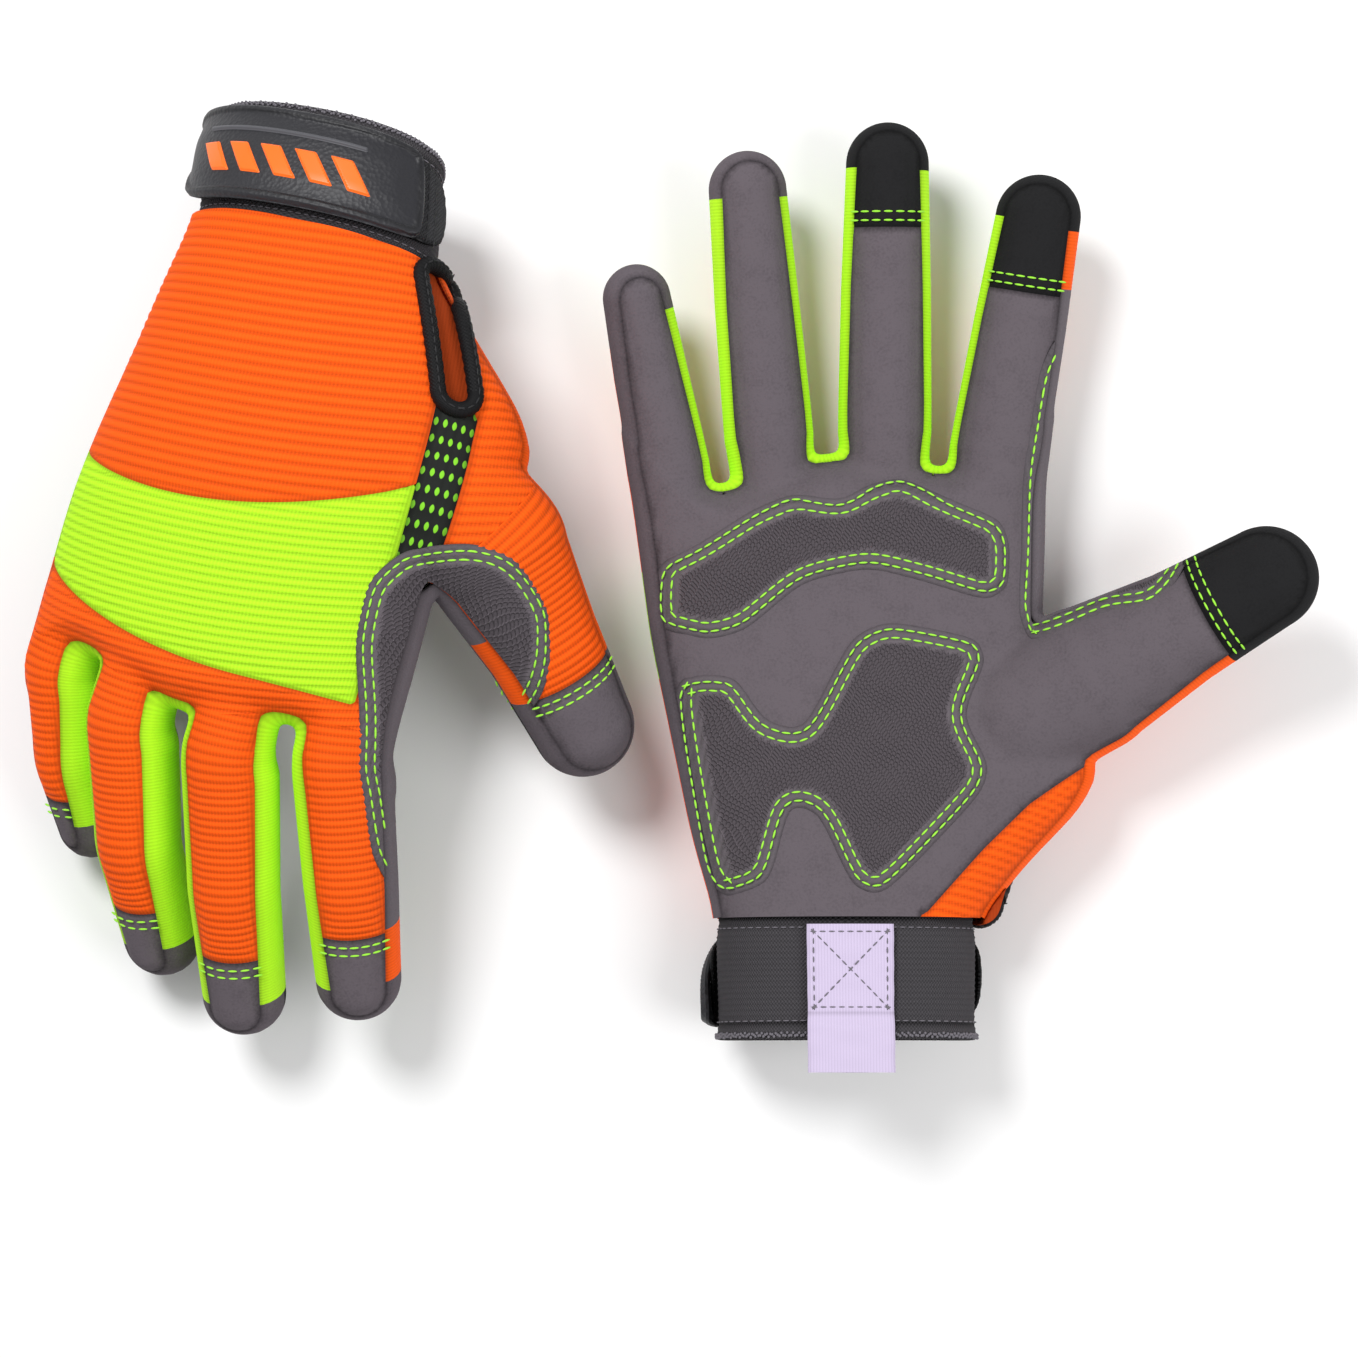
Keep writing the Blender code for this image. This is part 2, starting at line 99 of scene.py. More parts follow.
outline = {
    "left": [(-10, -35), (33, -35.5), (54, -41.5), (80, -46.8), (107, -52.5), (128, -55.5),
             (150, -58.5), (170, -61)],
    "right": [(-10, 35), (31, 35.5), (36, 40.5), (45, 47), (55, 57), (65, 66), (75, 68),
              (90, 58), (108, 53), (130, 54), (150, 54.5), (170, 56)],
    "depth": [(-10, 17), (33, 17), (70, 16.5), (120, 14), (165, 13)],
    "webs": [(-70, 168), (-56, 158), (-44, 149.5), (-34.2, 148.0), (-20, 153), (-5, 157.3),
             (10, 156.8), (24.2, 153.2), (36, 154), (48, 160), (60, 168)],
    "knuckles": [(-70, 142), (-56, 146), (-44, 148.5), (-34.2, 148.0), (-20, 153), (-5, 157.3),
                 (10, 156.8), (24.2, 153.2), (36, 152), (48, 151), (60, 150)],
    "cuffTop": 32.0,
    # how far in from the outline the side strips' seams lie, as the skin field there
    "bandLevel": {"palm": 49.0, "back": 72.0},
}
webs = {("pinky", "ring"): ((-34.2, 148.0), -9.5), ("ring", "middle"): ((-5.0, 157.3), -2.8),
        ("middle", "index"): ((24.2, 153.2), 5.5), ("index", "thumb"): ((51.9, 109.8), 36.0)}

# How the flat shapes are eased and blended into one plump skin.
skin = {"ease": 6.0, "webEase": 4.0, "fullness": 2.6, "shoulder": 0.85, "depthShare": 0.85,
        "webRise": 22.0, "handBlend": 14.0, "digitBlend": 24.0, "inset": 4.0,
        "fingerRoot": 16.0, "thumbRoot": 20.0, "rootShare": 0.9, "knuckleDrop": 3.0}

# How far before and after a hinge its cloth bends, along the digit.
hingeSpan = {"knuckle": (-5.0, 8.0), "joint": (-7.0, 7.0)}


def along(x, points, ease=0.0):
    # the value at x along a profile, eased over that distance at its corners
    table = np.array(points, float)
    offsets = (-ease, -ease / 2, 0.0, ease / 2, ease) if ease else (0.0,)
    return sum(np.interp(x + o, table[:, 0], table[:, 1]) for o in offsets) / len(offsets)


def direction(angle):
    return np.array([math.sin(math.radians(angle)), math.cos(math.radians(angle))])


def capsule(u, v, a, b, ra, rb):
    # radius squared less distance squared, so it is positive inside and 0 on the outline
    du, dv = b[0] - a[0], b[1] - a[1]
    t = np.clip(((u - a[0]) * du + (v - a[1]) * dv) / (du * du + dv * dv), 0, 1)
    r = ra + (rb - ra) * t
    return r * r - (u - a[0] - t * du) ** 2 - (v - a[1] - t * dv) ** 2


def softMax(fields, blend):
    top = np.max(fields, axis=0)
    return top + blend * np.log(sum(np.exp(np.maximum((f - top) / blend, -60)) for f in fields))


def digitField(u, v, name):
    isThumb = name == "thumb"
    shape = {**digits[name], **(thumbDrawn if isThumb else {})}
    start, d = np.array(shape["knuckle"]), direction(shape["angle"])
    wide, mid, tip = shape["radii"]
    root = start - d * skin["thumbRoot" if isThumb else "fingerRoot"]
    rootRadius = wide if isThumb else wide * skin["rootShare"]
    joint, end = start + d * shape["first"], start + d * (shape["long"] - tip)
    return np.max([capsule(u, v, root, start, rootRadius, wide),
                   capsule(u, v, start, joint, wide, mid),
                   capsule(u, v, joint, end, mid, tip)], axis=0)


def skinField(u, v):
    # the whole flat glove: 0 on its outline, and the square of its thickness inside
    left, right = (along(v, outline[side], skin["ease"]) for side in ("left", "right"))
    depth = along(v, outline["depth"], skin["ease"]) / skin["depthShare"]
    x = np.abs((u - (left + right) / 2) / ((right - left) / 2))
    g = 1 - x ** skin["fullness"]
    sides = depth**2 * np.sign(g) * np.abs(g) ** skin["shoulder"]
    top = skin["webRise"] * (along(u, outline["webs"], skin["webEase"]) - v)
    hand = -softMax([-sides, -top], skin["handBlend"])
    shapes = [hand] + [digitField(u, v, name) for name in digits]
    return softMax(shapes, skin["digitBlend"]) - skin["inset"]


def skinSlope(u, v, step=0.25):
    du = (skinField(u + step, v) - skinField(u - step, v)) / (2 * step)
    dv = (skinField(u, v + step) - skinField(u, v - step)) / (2 * step)
    return du, dv


def edgeDistance(u, v, side):
    # roughly how far inside the side strips' seam a point is
    du, dv = skinSlope(u, v)
    return (skinField(u, v) - outline["bandLevel"][side]) / np.maximum(np.hypot(du, dv), 4.0)


def digitCoords(u, v, name):
    (ku, kv), d = digits[name]["knuckle"], direction(digits[name]["angle"])
    return (u - ku) * d[0] + (v - kv) * d[1], (u - ku) * d[1] - (v - kv) * d[0]


def webSide(u, v, pair):
    (cu, cv), angle = webs[pair]
    d = direction(angle)
    return (u - cu) * d[1] - (v - cv) * d[0]


def territory(u, v, name):
    # positive where the flat pattern belongs to a digit, or to the hand below them all
    rising = v - (along(u, outline["knuckles"]) - skin["knuckleDrop"])
    pairs = list(webs)
    thumbWeb = webSide(u, v, pairs[3])
    thumbAhead = digitCoords(u, v, "thumb")[0] - hingeSpan["knuckle"][0]
    if name == "hand":
        return np.minimum(-rising, np.maximum(-thumbAhead, -thumbWeb))
    if name == "thumb":
        return np.minimum(thumbAhead, thumbWeb)
    order = list(digits).index(name)
    fields = [rising, -webSide(u, v, pairs[order])]
    if order:
        fields.append(webSide(u, v, pairs[order - 1]))
    return np.min(fields, axis=0)


# Poses: the flat pattern bent into the hand's arch, with each digit turned at its joints.
def turnMatrix(axis, angle):
    return np.array(Matrix.Rotation(math.radians(angle), 3, axis))


def bendHand(p, glove):
    longR, archR = glove["longRadius"], glove["archRadius"]
    towardsHem = np.maximum(0.0, 1.0 - p[:, 1] / glove["longCentre"])
    across = p[:, 0] - glove["sway"] * towardsHem**2
    a = (p[:, 1] - glove["longCentre"]) / longR
    y = glove["longCentre"] + (longR - p[:, 2]) * np.sin(a)
    z = longR - (longR - p[:, 2]) * np.cos(a)
    g = (across - glove["archCentre"]) / archR
    x = glove["archCentre"] + (archR - z) * np.sin(g)
    return np.stack([x, y, archR - (archR - z) * np.cos(g)], axis=1)


def smooth(t):
    t = np.clip(t, 0, 1)
    return t * t * (3 - 2 * t)


def readGlove(name):
    # works out where each digit's joints are, shifts the glove so its middle knuckle meets the
    # frame's hinge, and prints how far each middle joint lies from the frame's
    glove = gloves[name]
    tx, ty, tz = glove["turn"]
    lay = turnMatrix("Z", tz) @ turnMatrix("Y", ty) @ turnMatrix("X", tx)
    frames = {}
    for digit, shape in digits.items():
        knuckle = np.array([*shape["knuckle"], 0.0])
        ahead = np.array([*direction(shape["angle"]), 0.0])
        at, onward, out = bendHand(
            np.array([knuckle, knuckle + ahead, knuckle + (0, 0, 1)]), glove)
        forward = (onward - at) / np.linalg.norm(onward - at)
        side = np.cross(forward, (out - at) / np.linalg.norm(out - at))
        side /= np.linalg.norm(side)
        basis = np.stack([side, forward, np.cross(side, forward)], axis=1)
        turn, curl, fold = glove["rest"][digit]
        basis = lay @ basis @ turnMatrix("Z", turn) @ turnMatrix("X", curl)
        frames[digit] = {"at": lay @ at, "base": basis, "tip": basis @ turnMatrix("X", fold)}
    hinge = hingeOf[f"{name}_middle_knuckle"]
    glove["shift"] = np.array(hinge["pos_m"]) / mm - frames["middle"]["at"]
    glove["lay"], glove["frames"] = lay, frames
    for digit, place in frames.items():
        place["at"] = place["at"] + glove["shift"]
        place["joint"] = place["at"] + place["base"] @ (0, digits[digit]["first"], 0)
        gap = np.array(hingeOf[f"{name}_{digit}_joint"]["pos_m"]) / mm - place["joint"]
        print(name, digit, "hinge meets the frame within", round(float(np.abs(gap).max()), 3))


def placeSkin(p, name, owner):
    # the flat pattern to the world, in millimetres, for points that belong to the owner
    glove = gloves[name]
    p = np.asarray(p, float)
    placed = bendHand(p, glove) @ glove["lay"].T + glove["shift"]
    if owner == "hand":
        return placed
    place = glove["frames"][owner]
    s, t = digitCoords(p[:, 0], p[:, 1], owner)
    low, high = hingeSpan["knuckle"]
    first = smooth((s - low) / (high - low))[:, None]
    low, high = hingeSpan["joint"]
    beyond = s - digits[owner]["first"]
    second = smooth((beyond - low) / (high - low))[:, None]
    base = np.stack([t, s, p[:, 2]], axis=1) @ place["base"].T + place["at"]
    tip = np.stack([t, beyond, p[:, 2]], axis=1) @ place["tip"].T + place["joint"]
    return placed + (base + (tip - base) * second - placed) * first


# Meshes in the flat pattern: rows of (u, v, pattern across, pattern along), then faces.
def lattice(low, high, steps, origin=(0.0, 0.0), angle=0.0):
    across = np.arange(low[0], high[0] + steps[0] / 2, steps[0])
    ahead = np.arange(low[1], high[1] + steps[1] / 2, steps[1])
    a, b = np.meshgrid(across, ahead)
    d = direction(angle)
    u = origin[0] + a * d[1] + b * d[0]
    v = origin[1] - a * d[0] + b * d[1]
    rows = np.stack([u, v, a, b], axis=-1).reshape(-1, 4)
    n, m = len(across), len(ahead)
    corner = (np.arange(m - 1)[:, None] * n + np.arange(n - 1)[None, :]).reshape(-1)
    return rows, np.stack([corner, corner + 1, corner + n + 1, corner + n], axis=1), []


def cut(sheet, field):
    # keeps the side of a sheet where the field is positive, cutting through its faces
    rows, quads, others = sheet
    values = field(rows[:, 0], rows[:, 1])
    keep = values >= 0
    count = keep[quads].sum(axis=1)
    crossing = [tuple(face) for face in quads[(count > 0) & (count < 4)].tolist()]
    quads = quads[count == 4]
    keep = keep.tolist()
    made, seen, kept = [], {}, []
    for face in crossing + others:
        if not any(keep[i] for i in face):
            continue
        shape = []
        for a, b in zip(face, face[1:] + face[:1]):
            if keep[a]:
                shape.append(a)
            if keep[a] != keep[b]:
                key = (a, b) if a < b else (b, a)
                if key not in seen:
                    share = values[key[0]] / (values[key[0]] - values[key[1]])
                    share = min(max(share, 0.001), 0.999)
                    seen[key] = len(rows) + len(made)
                    made.append(rows[key[0]] + (rows[key[1]] - rows[key[0]]) * share)
                shape.append(seen[key])
        if len(shape) > 2:
            kept.append(tuple(shape))
    if made:
        rows = np.concatenate([rows, np.array(made)])
    used = np.zeros(len(rows), bool)
    used[quads.reshape(-1)] = True
    used[[i for face in kept for i in face]] = True
    place = np.cumsum(used) - 1
    return rows[used], place[quads], [tuple(place[list(face)].tolist()) for face in kept]


def trimmed(sheet, fields):
    for field in fields:
        sheet = cut(sheet, field)
    return sheet


for gloveName in gloves:
    readGlove(gloveName)
print("stage: pattern ready")


def makePiece(name, points, faces, normals, uv, material, thickness=0.0, shade=None, net=None):
    # a named mesh from world points in millimetres, given a wall behind it if it is cloth
    count = len(points)
    faces = [tuple(face) for face in faces]
    if thickness:
        edges = {}
        for face in faces:
            for a, b in zip(face, face[1:] + face[:1]):
                edges[(a, b)] = (b, a) not in edges
                if not edges[(a, b)]:
                    edges[(b, a)] = False
        rims = [(b, a, a + count, b + count) for (a, b), single in edges.items() if single]
        faces = faces + [tuple(i + count for i in reversed(face)) for face in faces] + rims
        points = np.concatenate([points, points - normals * thickness])
        normals = np.concatenate([normals, -normals])
        uv = np.concatenate([uv, uv])
        shade = None if shade is None else np.concatenate([shade, shade])
        net = None if net is None else np.concatenate([net, net])
    mesh = bpy.data.meshes.new(name)
    mesh.from_pydata((points * mm).tolist(), [], faces)
    mesh.polygons.foreach_set("use_smooth", [True] * len(mesh.polygons))
    loops = np.empty(len(mesh.loops), np.int32)
    mesh.loops.foreach_get("vertex_index", loops)
    layer = mesh.uv_layers.new(name="pattern")
    layer.data.foreach_set("uv", uv[loops].astype(np.float32).reshape(-1))
    for label, values in (("shade", shade), ("net", net)):
        if values is not None:
            made = mesh.attributes.new(label, "FLOAT", "POINT")
            made.data.foreach_set("value", values.astype(np.float32))
    mesh.materials.append(material)
    mesh.normals_split_custom_set_from_vertices(normals.tolist())
    obj = bpy.data.objects.new(name, mesh)
    bpy.context.scene.collection.objects.link(obj)
    return obj


def fasten(obj, name, owner, part, nodes=()):
    # ties a piece of the hand or the strap to the body that carries it and hides the frame's nodes
    # it stands for; pieces on the digits and the strap's root only have their place baked
    if owner in digits:
        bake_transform(obj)
    elif part == "root":
        x, v = np.array(strap["bend"]), np.full(2, strap["middle"])
        start, end = wrapLine(x, v, name, strap["tabLift"] + 0.1)
        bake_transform(obj)
    else:
        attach(obj, f"{name}_{owner}")
    if nodes:
        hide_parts(*[f"{name}.{node}" for node in nodes])
    return obj


def reverseFaces(quads, others):
    return quads[:, ::-1].tolist() + [tuple(reversed(face)) for face in others]


def skinHeight(u, v, name):
    return gloves[name]["plump"] * np.sqrt(np.maximum(skinField(u, v), 0.0))


def skinSurface(u, v, name, owner, side, relief, reach=0.12):
    # world points and outward normals of the glove's skin, raised or sunk by the relief
    sign = 1.0 if side == "palm" else -1.0

    def at(du, dv):
        a, b = u + du, v + dv
        w = sign * (skinHeight(a, b, name) + relief(a, b))
        return placeSkin(np.stack([a, b, w], axis=1), name, owner)

    normals = np.cross(at(reach, 0) - at(-reach, 0), at(0, reach) - at(0, -reach)) * sign
    return at(0, 0), normals / np.maximum(np.linalg.norm(normals, axis=1), 1e-9)[:, None]


def skinSheet(label, name, owner, part, side, sheet, relief, look, thickness=1.0, shade=None,
              net=None, nodes=()):
    rows, quads, others = sheet
    if not len(quads) and not others:
        return None
    points, normals = skinSurface(rows[:, 0], rows[:, 1], name, owner, side, relief)
    faces = quads.tolist() + others if side == "palm" else reverseFaces(quads, others)
    extra = {key: field(rows[:, 0], rows[:, 1])
             for key, field in (("shade", shade), ("net", net)) if field}
    obj = makePiece(f"{name}.{label}", points, faces, normals, rows[:, 2:4], materials[look],
                    thickness, **extra)
    return fasten(obj, name, owner, part, nodes)


def sewCloth(label, name, owner, part, side, sheet, look, knit=None, nodes=()):
    # a panel that puffs up between its seams, ribbed if it is a knit
    skinSheet(label, name, owner, part, side, sheet, clothRelief(side, owner, knit), look,
              shade=clothShade(side, owner, knit), nodes=nodes)


# Seams of the back and the palm, as signed fields of the flat pattern.
seams = {
    "stripeCrest": 104.0,
    "stripeTop": lambda u: seams["stripeCrest"] - 12.0 * ((u + 12.0) / 45.0) ** 2,
    "stripeBottom": lambda u: 143.0 - 20.0 * (np.maximum(0.0, 12.0 - u) / 68.0) ** 2,
    "gussetLeft": [(33, 35), (64, 40), (118, 41)],
    "gussetRight": [(33, 35), (58, 43.5), (68, 50), (108, 50), (118, 48)],
    "gussetEnd": 118.0,
    "thumbSeam": [(21.6, 33), (37.4, 50), (50, 62), (74.3, 79), (88.8, 89.6), (104.6, 100),
                  (130, 118)],
    "depth": 0.55, "width": 0.8, "puff": 0.7, "puffReach": 6.0,
    # ribs start a little way off a seam, and painted shade darkens their grooves by a share
    "ribStart": 0.5, "ribFade": 1.2, "ribShade": 0.75,
    # how square the palm's thumb edge is cut, and how far left it stops
    "thumbSlope": 0.79, "thumbStop": 20.0,
}


def leftOfGusset(u, v):
    return along(v, seams["gussetLeft"]) - u


def rightOfGusset(u, v):
    return u - along(v, seams["gussetRight"])


backFields = {
    "back": lambda u, v: np.minimum(seams["stripeTop"](u) - v, leftOfGusset(u, v)),
    "stripe": lambda u, v: np.min([v - seams["stripeTop"](u), seams["stripeBottom"](u) - v,
                                   leftOfGusset(u, v)], axis=0),
    "knuckle": lambda u, v: np.maximum(v - seams["stripeBottom"](u), np.minimum(
        v - seams["gussetEnd"], -leftOfGusset(u, v))),
    "gusset": lambda u, v: np.min([-leftOfGusset(u, v), -rightOfGusset(u, v),
                                   seams["gussetEnd"] - v], axis=0),
    "thumb": lambda u, v: np.minimum(rightOfGusset(u, v), seams["gussetEnd"] - v),
}


def thumbSide(u, v):
    # positive on the orange side of the seam that runs up the palm's thumb edge
    d = np.interp(u, *np.array(seams["thumbSeam"], float).T) - v
    return np.minimum(d * seams["thumbSlope"], u - seams["thumbStop"])


def nearestSeam(u, v, side, owner):
    found = [np.abs(edgeDistance(u, v, side)), np.full_like(u, 30.0)]
    if owner == "hand" and side == "back":
        found += [np.abs(field(u, v)) for field in backFields.values()]
    if owner in digits:
        s = digitCoords(u, v, owner)[0]
        line = digits[owner]["cap" if side == "back" else "touch"]
        if line:
            found.append(np.abs(s - line))
    if side == "palm" and owner in ("hand", "thumb"):
        found.append(np.abs(thumbSide(u, v)))
    return np.min(found, axis=0)


knits = {
    # distances between ribs in mm; the ribs of the hand bow by a share of the stripe's curve
    "hand": {"pitch": 2.5, "depth": 0.42, "sharp": 2.0, "bow": 0.45},
    "fine": {"pitch": 2.0, "depth": 0.38, "sharp": 2.0, "bow": 0.45},
}


def ribGroove(u, v, owner, knit):
    # 1 in the grooves between the knit's ribs and 0 on the ribs
    if owner in digits:
        rows = digitCoords(u, v, owner)[0]
    else:
        rows = v - knit["bow"] * (seams["stripeTop"](u) - seams["stripeCrest"])
    return (0.5 + 0.5 * np.cos(2 * np.pi * rows / knit["pitch"])) ** knit["sharp"]


def clothRelief(side, owner, knit=None):
    def relief(u, v):
        near = nearestSeam(u, v, side, owner)
        rise = -seams["depth"] * np.exp(-((near / seams["width"]) ** 2))
        rise = rise + seams["puff"] * smooth(near / seams["puffReach"])
        if knit:
            fade = smooth((near - seams["ribStart"]) / seams["ribFade"])
            rise -= knit["depth"] * ribGroove(u, v, owner, knit) * fade
        return rise
    return relief


# painted shade: darker in the seams' grooves and in the knit's rib grooves
def clothShade(side, owner, knit=None):
    def shade(u, v):
        near = nearestSeam(u, v, side, owner)
        paintedShade = np.exp(-((near / seams["width"]) ** 2))
        if knit:
            paintedShade = np.maximum(paintedShade, seams["ribShade"] * ribGroove(u, v, owner, knit))
        return paintedShade
    return shade


# Finishes: each is a node group that takes a colour and returns a colour and a height; the colour
# carries the cloth's own mottle or pattern and painted shade from the shade attribute.
def newGroup(name, inputs, outputs):
    tree = bpy.data.node_groups.new(name, "ShaderNodeTree")
    for label, kind in inputs:
        tree.interface.new_socket(label, in_out="INPUT", socket_type=kind)
    for label, kind in outputs:
        tree.interface.new_socket(label, in_out="OUTPUT", socket_type=kind)
    return tree, tree.nodes.new("NodeGroupInput"), tree.nodes.new("NodeGroupOutput")


def mathNode(tree, operation, a, b=None, clamp=False):
    node = tree.nodes.new("ShaderNodeMath")
    node.operation, node.use_clamp = operation, clamp
    for socket, value in zip(node.inputs, (a, b)):
        if isinstance(value, (int, float)):
            socket.default_value = value
        elif value is not None:
            tree.links.new(value, socket)
    return node.outputs[0]


def darken(tree, colour, amount):
    # the colour times one less the amount
    keep = mathNode(tree, "SUBTRACT", 1.0, amount, clamp=True)
    node = tree.nodes.new("ShaderNodeVectorMath")
    node.operation = "SCALE"
    tree.links.new(colour, node.inputs[0])
    tree.links.new(keep, node.inputs["Scale"])
    return node.outputs[0]


def noiseNode(tree, vector, scale, detail=2.0):
    node = tree.nodes.new("ShaderNodeTexNoise")
    node.inputs["Scale"].default_value = scale
    node.inputs["Detail"].default_value = detail
    tree.links.new(vector, node.inputs["Vector"])
    return node.outputs["Fac"]


surfaceSockets = [("Vector", "NodeSocketVector"), ("Pattern", "NodeSocketVector"),
                  ("Colour", "NodeSocketColor"), ("Shade", "NodeSocketFloat"),
                  ("Net", "NodeSocketFloat")]
resultSockets = [("Colour", "NodeSocketColor"), ("Height", "NodeSocketFloat")]

# Pitches and sways are in millimetres along the cloth, fibres and grains count per metre.
cloth = {
    "paintedShade": 0.62, "bump": 0.0004,
    "nap": {"fibres": 1500.0, "patches": 180.0, "fibreShare": 0.55, "patchShare": 0.3,
            "middle": 0.4},
    "knit": {"pitch": 0.85, "fibres": 2200.0, "raise": 0.25, "lines": 0.07, "paintedShade": 0.5},
    "net": {"pitch": 3.4, "lean": 0.8, "swayAcross": (15.0, 1.3), "swayAhead": (21.0, 1.6),
            "sharp": 4.0, "raise": 1.5, "fibres": 1500.0, "fibreRaise": 0.5, "hollow": 0.42,
            "mottle": 0.15},
    "weave": {"across": 0.9, "ahead": 1.1, "troughShade": 0.25},
    "mesh": {"pitch": 4.2, "lean": 0.5, "rim": 0.45, "sharp": 6.0,
             "under": (0.22, 0.62, 0.03, 1.0)},
    "grain": {"cells": 900.0},
}


def waves(tree, value, pitch):
    return mathNode(tree, "SINE", mathNode(tree, "MULTIPLY", value, 2 * math.pi / pitch))


def finishGroup(kind):
    # one group for each kind of cloth
    tree, group, out = newGroup(f"{kind}FinishAndShade", surfaceSockets, resultSockets)
    vector, colour, shade, net = (group.outputs[label]
                                  for label in ("Vector", "Colour", "Shade", "Net"))
    split = tree.nodes.new("ShaderNodeSeparateXYZ")
    tree.links.new(group.outputs["Pattern"], split.inputs[0])
    u, v = split.outputs[0], split.outputs[1]
    own = cloth[kind]

    def times(a, b, clamp=False):
        return mathNode(tree, "MULTIPLY", a, b, clamp)

    def plus(a, b):
        return mathNode(tree, "ADD", a, b)

    def less(a, b, clamp=False):
        return mathNode(tree, "SUBTRACT", a, b, clamp)

    # painted shade: the shade attribute darkens the colour in every finish
    paintedShade = times(shade, cloth["paintedShade"])
    if kind == "nap":
        fibres = noiseNode(tree, vector, own["fibres"], 3.0)
        patches = noiseNode(tree, vector, own["patches"])
        mottle = plus(times(fibres, own["fibreShare"]), times(patches, own["patchShare"]))
        amount, height = plus(paintedShade, less(mottle, own["middle"])), fibres
    elif kind == "knit":
        columns = waves(tree, u, own["pitch"])
        height = plus(times(columns, own["raise"]), noiseNode(tree, vector, own["fibres"]))
        # painted light and shade: the knit's fine columns are lighter on their crests and darker
        # in their troughs
        amount = plus(times(shade, own["paintedShade"]), times(less(0.5, columns), own["lines"]))
    elif kind == "net":
        (pitchU, swayU), (pitchV, swayV) = own["swayAcross"], own["swayAhead"]
        across = plus(u, times(waves(tree, v, pitchU), swayU))
        ahead = times(plus(v, times(waves(tree, u, pitchV), swayV)), own["lean"])
        cells = mathNode(tree, "ABSOLUTE", times(waves(tree, plus(across, ahead), own["pitch"]),
                                                 waves(tree, less(across, ahead), own["pitch"])))
        raised = mathNode(tree, "POWER", less(1.0, cells, True), own["sharp"])
        ridge, fibres = times(raised, net), noiseNode(tree, vector, own["fibres"])
        height = plus(times(ridge, own["raise"]), times(fibres, own["fibreRaise"]))
        # painted shade in the net's hollows between its raised ridges
        hollow = times(less(net, ridge), own["hollow"])
        amount = plus(plus(paintedShade, hollow), times(fibres, own["mottle"]))
    elif kind == "weave":
        height = times(waves(tree, u, own["across"]), waves(tree, v, own["ahead"]))
        # painted shade, strongest in the weave's troughs
        amount = plus(paintedShade, times(less(1.0, height), own["troughShade"]))
    elif kind == "mesh":
        lean = times(v, own["lean"])
        height = times(waves(tree, plus(u, lean), own["pitch"]),
                       waves(tree, less(u, lean), own["pitch"]))
        amount = paintedShade
        mix = tree.nodes.new("ShaderNodeMix")
        mix.data_type = "RGBA"
        socket = {item.identifier: item for item in [*mix.inputs, *mix.outputs]}
        socket["B_Color"].default_value = own["under"]
        tree.links.new(times(less(height, own["rim"]), own["sharp"], True),
                       socket["Factor_Float"])
        tree.links.new(colour, socket["A_Color"])
        colour = socket["Result_Color"]
    else:
        grain = tree.nodes.new("ShaderNodeTexVoronoi")
        grain.inputs["Scale"].default_value = own["cells"]
        tree.links.new(vector, grain.inputs["Vector"])
        height, amount = grain.outputs["Distance"], paintedShade
    tree.links.new(darken(tree, colour, amount), out.inputs["Colour"])
    tree.links.new(height, out.inputs["Height"])
    return tree


finishes = {kind: finishGroup(kind) for kind in ("nap", "knit", "net", "weave", "mesh", "grain")}

looks = {
    "suede": {"colour": (0.118, 0.100, 0.114), "finish": "nap", "rough": 0.95, "bump": 0.35,
              "slot": "suede_grey"},
    "pad": {"colour": (0.150, 0.130, 0.146), "finish": "net", "rough": 0.85, "bump": 1.0,
            "slot": "pad_grey"},
    "orange": {"colour": (1.0, 0.112, 0.004), "finish": "knit", "rough": 0.8, "bump": 0.2,
               "slot": "knit_orange"},
    "orangeShaded": {"colour": (0.36, 0.045, 0.006), "finish": "knit", "rough": 0.9, "bump": 0.2,
                   "slot": "knit_orange"},
    "lime": {"colour": (0.50, 0.95, 0.022), "finish": "knit", "rough": 0.8, "bump": 0.2,
             "slot": "knit_lime"},
    "touch": {"colour": (0.014, 0.014, 0.015), "finish": "nap", "rough": 0.9, "bump": 0.3,
              "slot": "suede_grey"},
    "gusset": {"colour": (0.014, 0.016, 0.014), "finish": "mesh", "rough": 0.8, "bump": 0.5,
               "slot": "mesh_black"},
    "elastic": {"colour": (0.085, 0.080, 0.088), "finish": "weave", "rough": 0.85, "bump": 0.6,
                "slot": "elastic_grey"},
    "hem": {"colour": (0.050, 0.050, 0.054), "finish": "weave", "rough": 0.8, "bump": 0.5,
            "slot": "binding_black"},
    "binding": {"colour": (0.009, 0.009, 0.010), "finish": "weave", "rough": 0.6, "bump": 0.3,
                "slot": "binding_black"},
    "rubber": {"colour": (0.018, 0.018, 0.022), "finish": "grain", "rough": 0.5, "bump": 0.35,
               "gloss": 0.4, "slot": "strap_rubber"},
    "emblem": {"colour": (1.0, 0.16, 0.012), "finish": None, "rough": 0.35, "gloss": 0.4,
               "slot": "strap_rubber"},
    "emblemGrey": {"colour": (0.09, 0.09, 0.10), "finish": None, "rough": 0.4,
                   "slot": "strap_rubber"},
    "tape": {"colour": (0.58, 0.50, 0.68), "finish": "knit", "rough": 0.55, "bump": 0.15,
             "slot": "tape_lavender"},
    "loop": {"colour": (0.07, 0.07, 0.075), "finish": "nap", "rough": 0.95, "bump": 0.6,
             "slot": "elastic_grey"},
    "limeThread": {"colour": (0.34, 0.80, 0.06), "finish": None, "rough": 0.55},
    "greyThread": {"colour": (0.16, 0.15, 0.17), "finish": None, "rough": 0.6},
    "darkThread": {"colour": (0.03, 0.03, 0.032), "finish": None, "rough": 0.6},
}


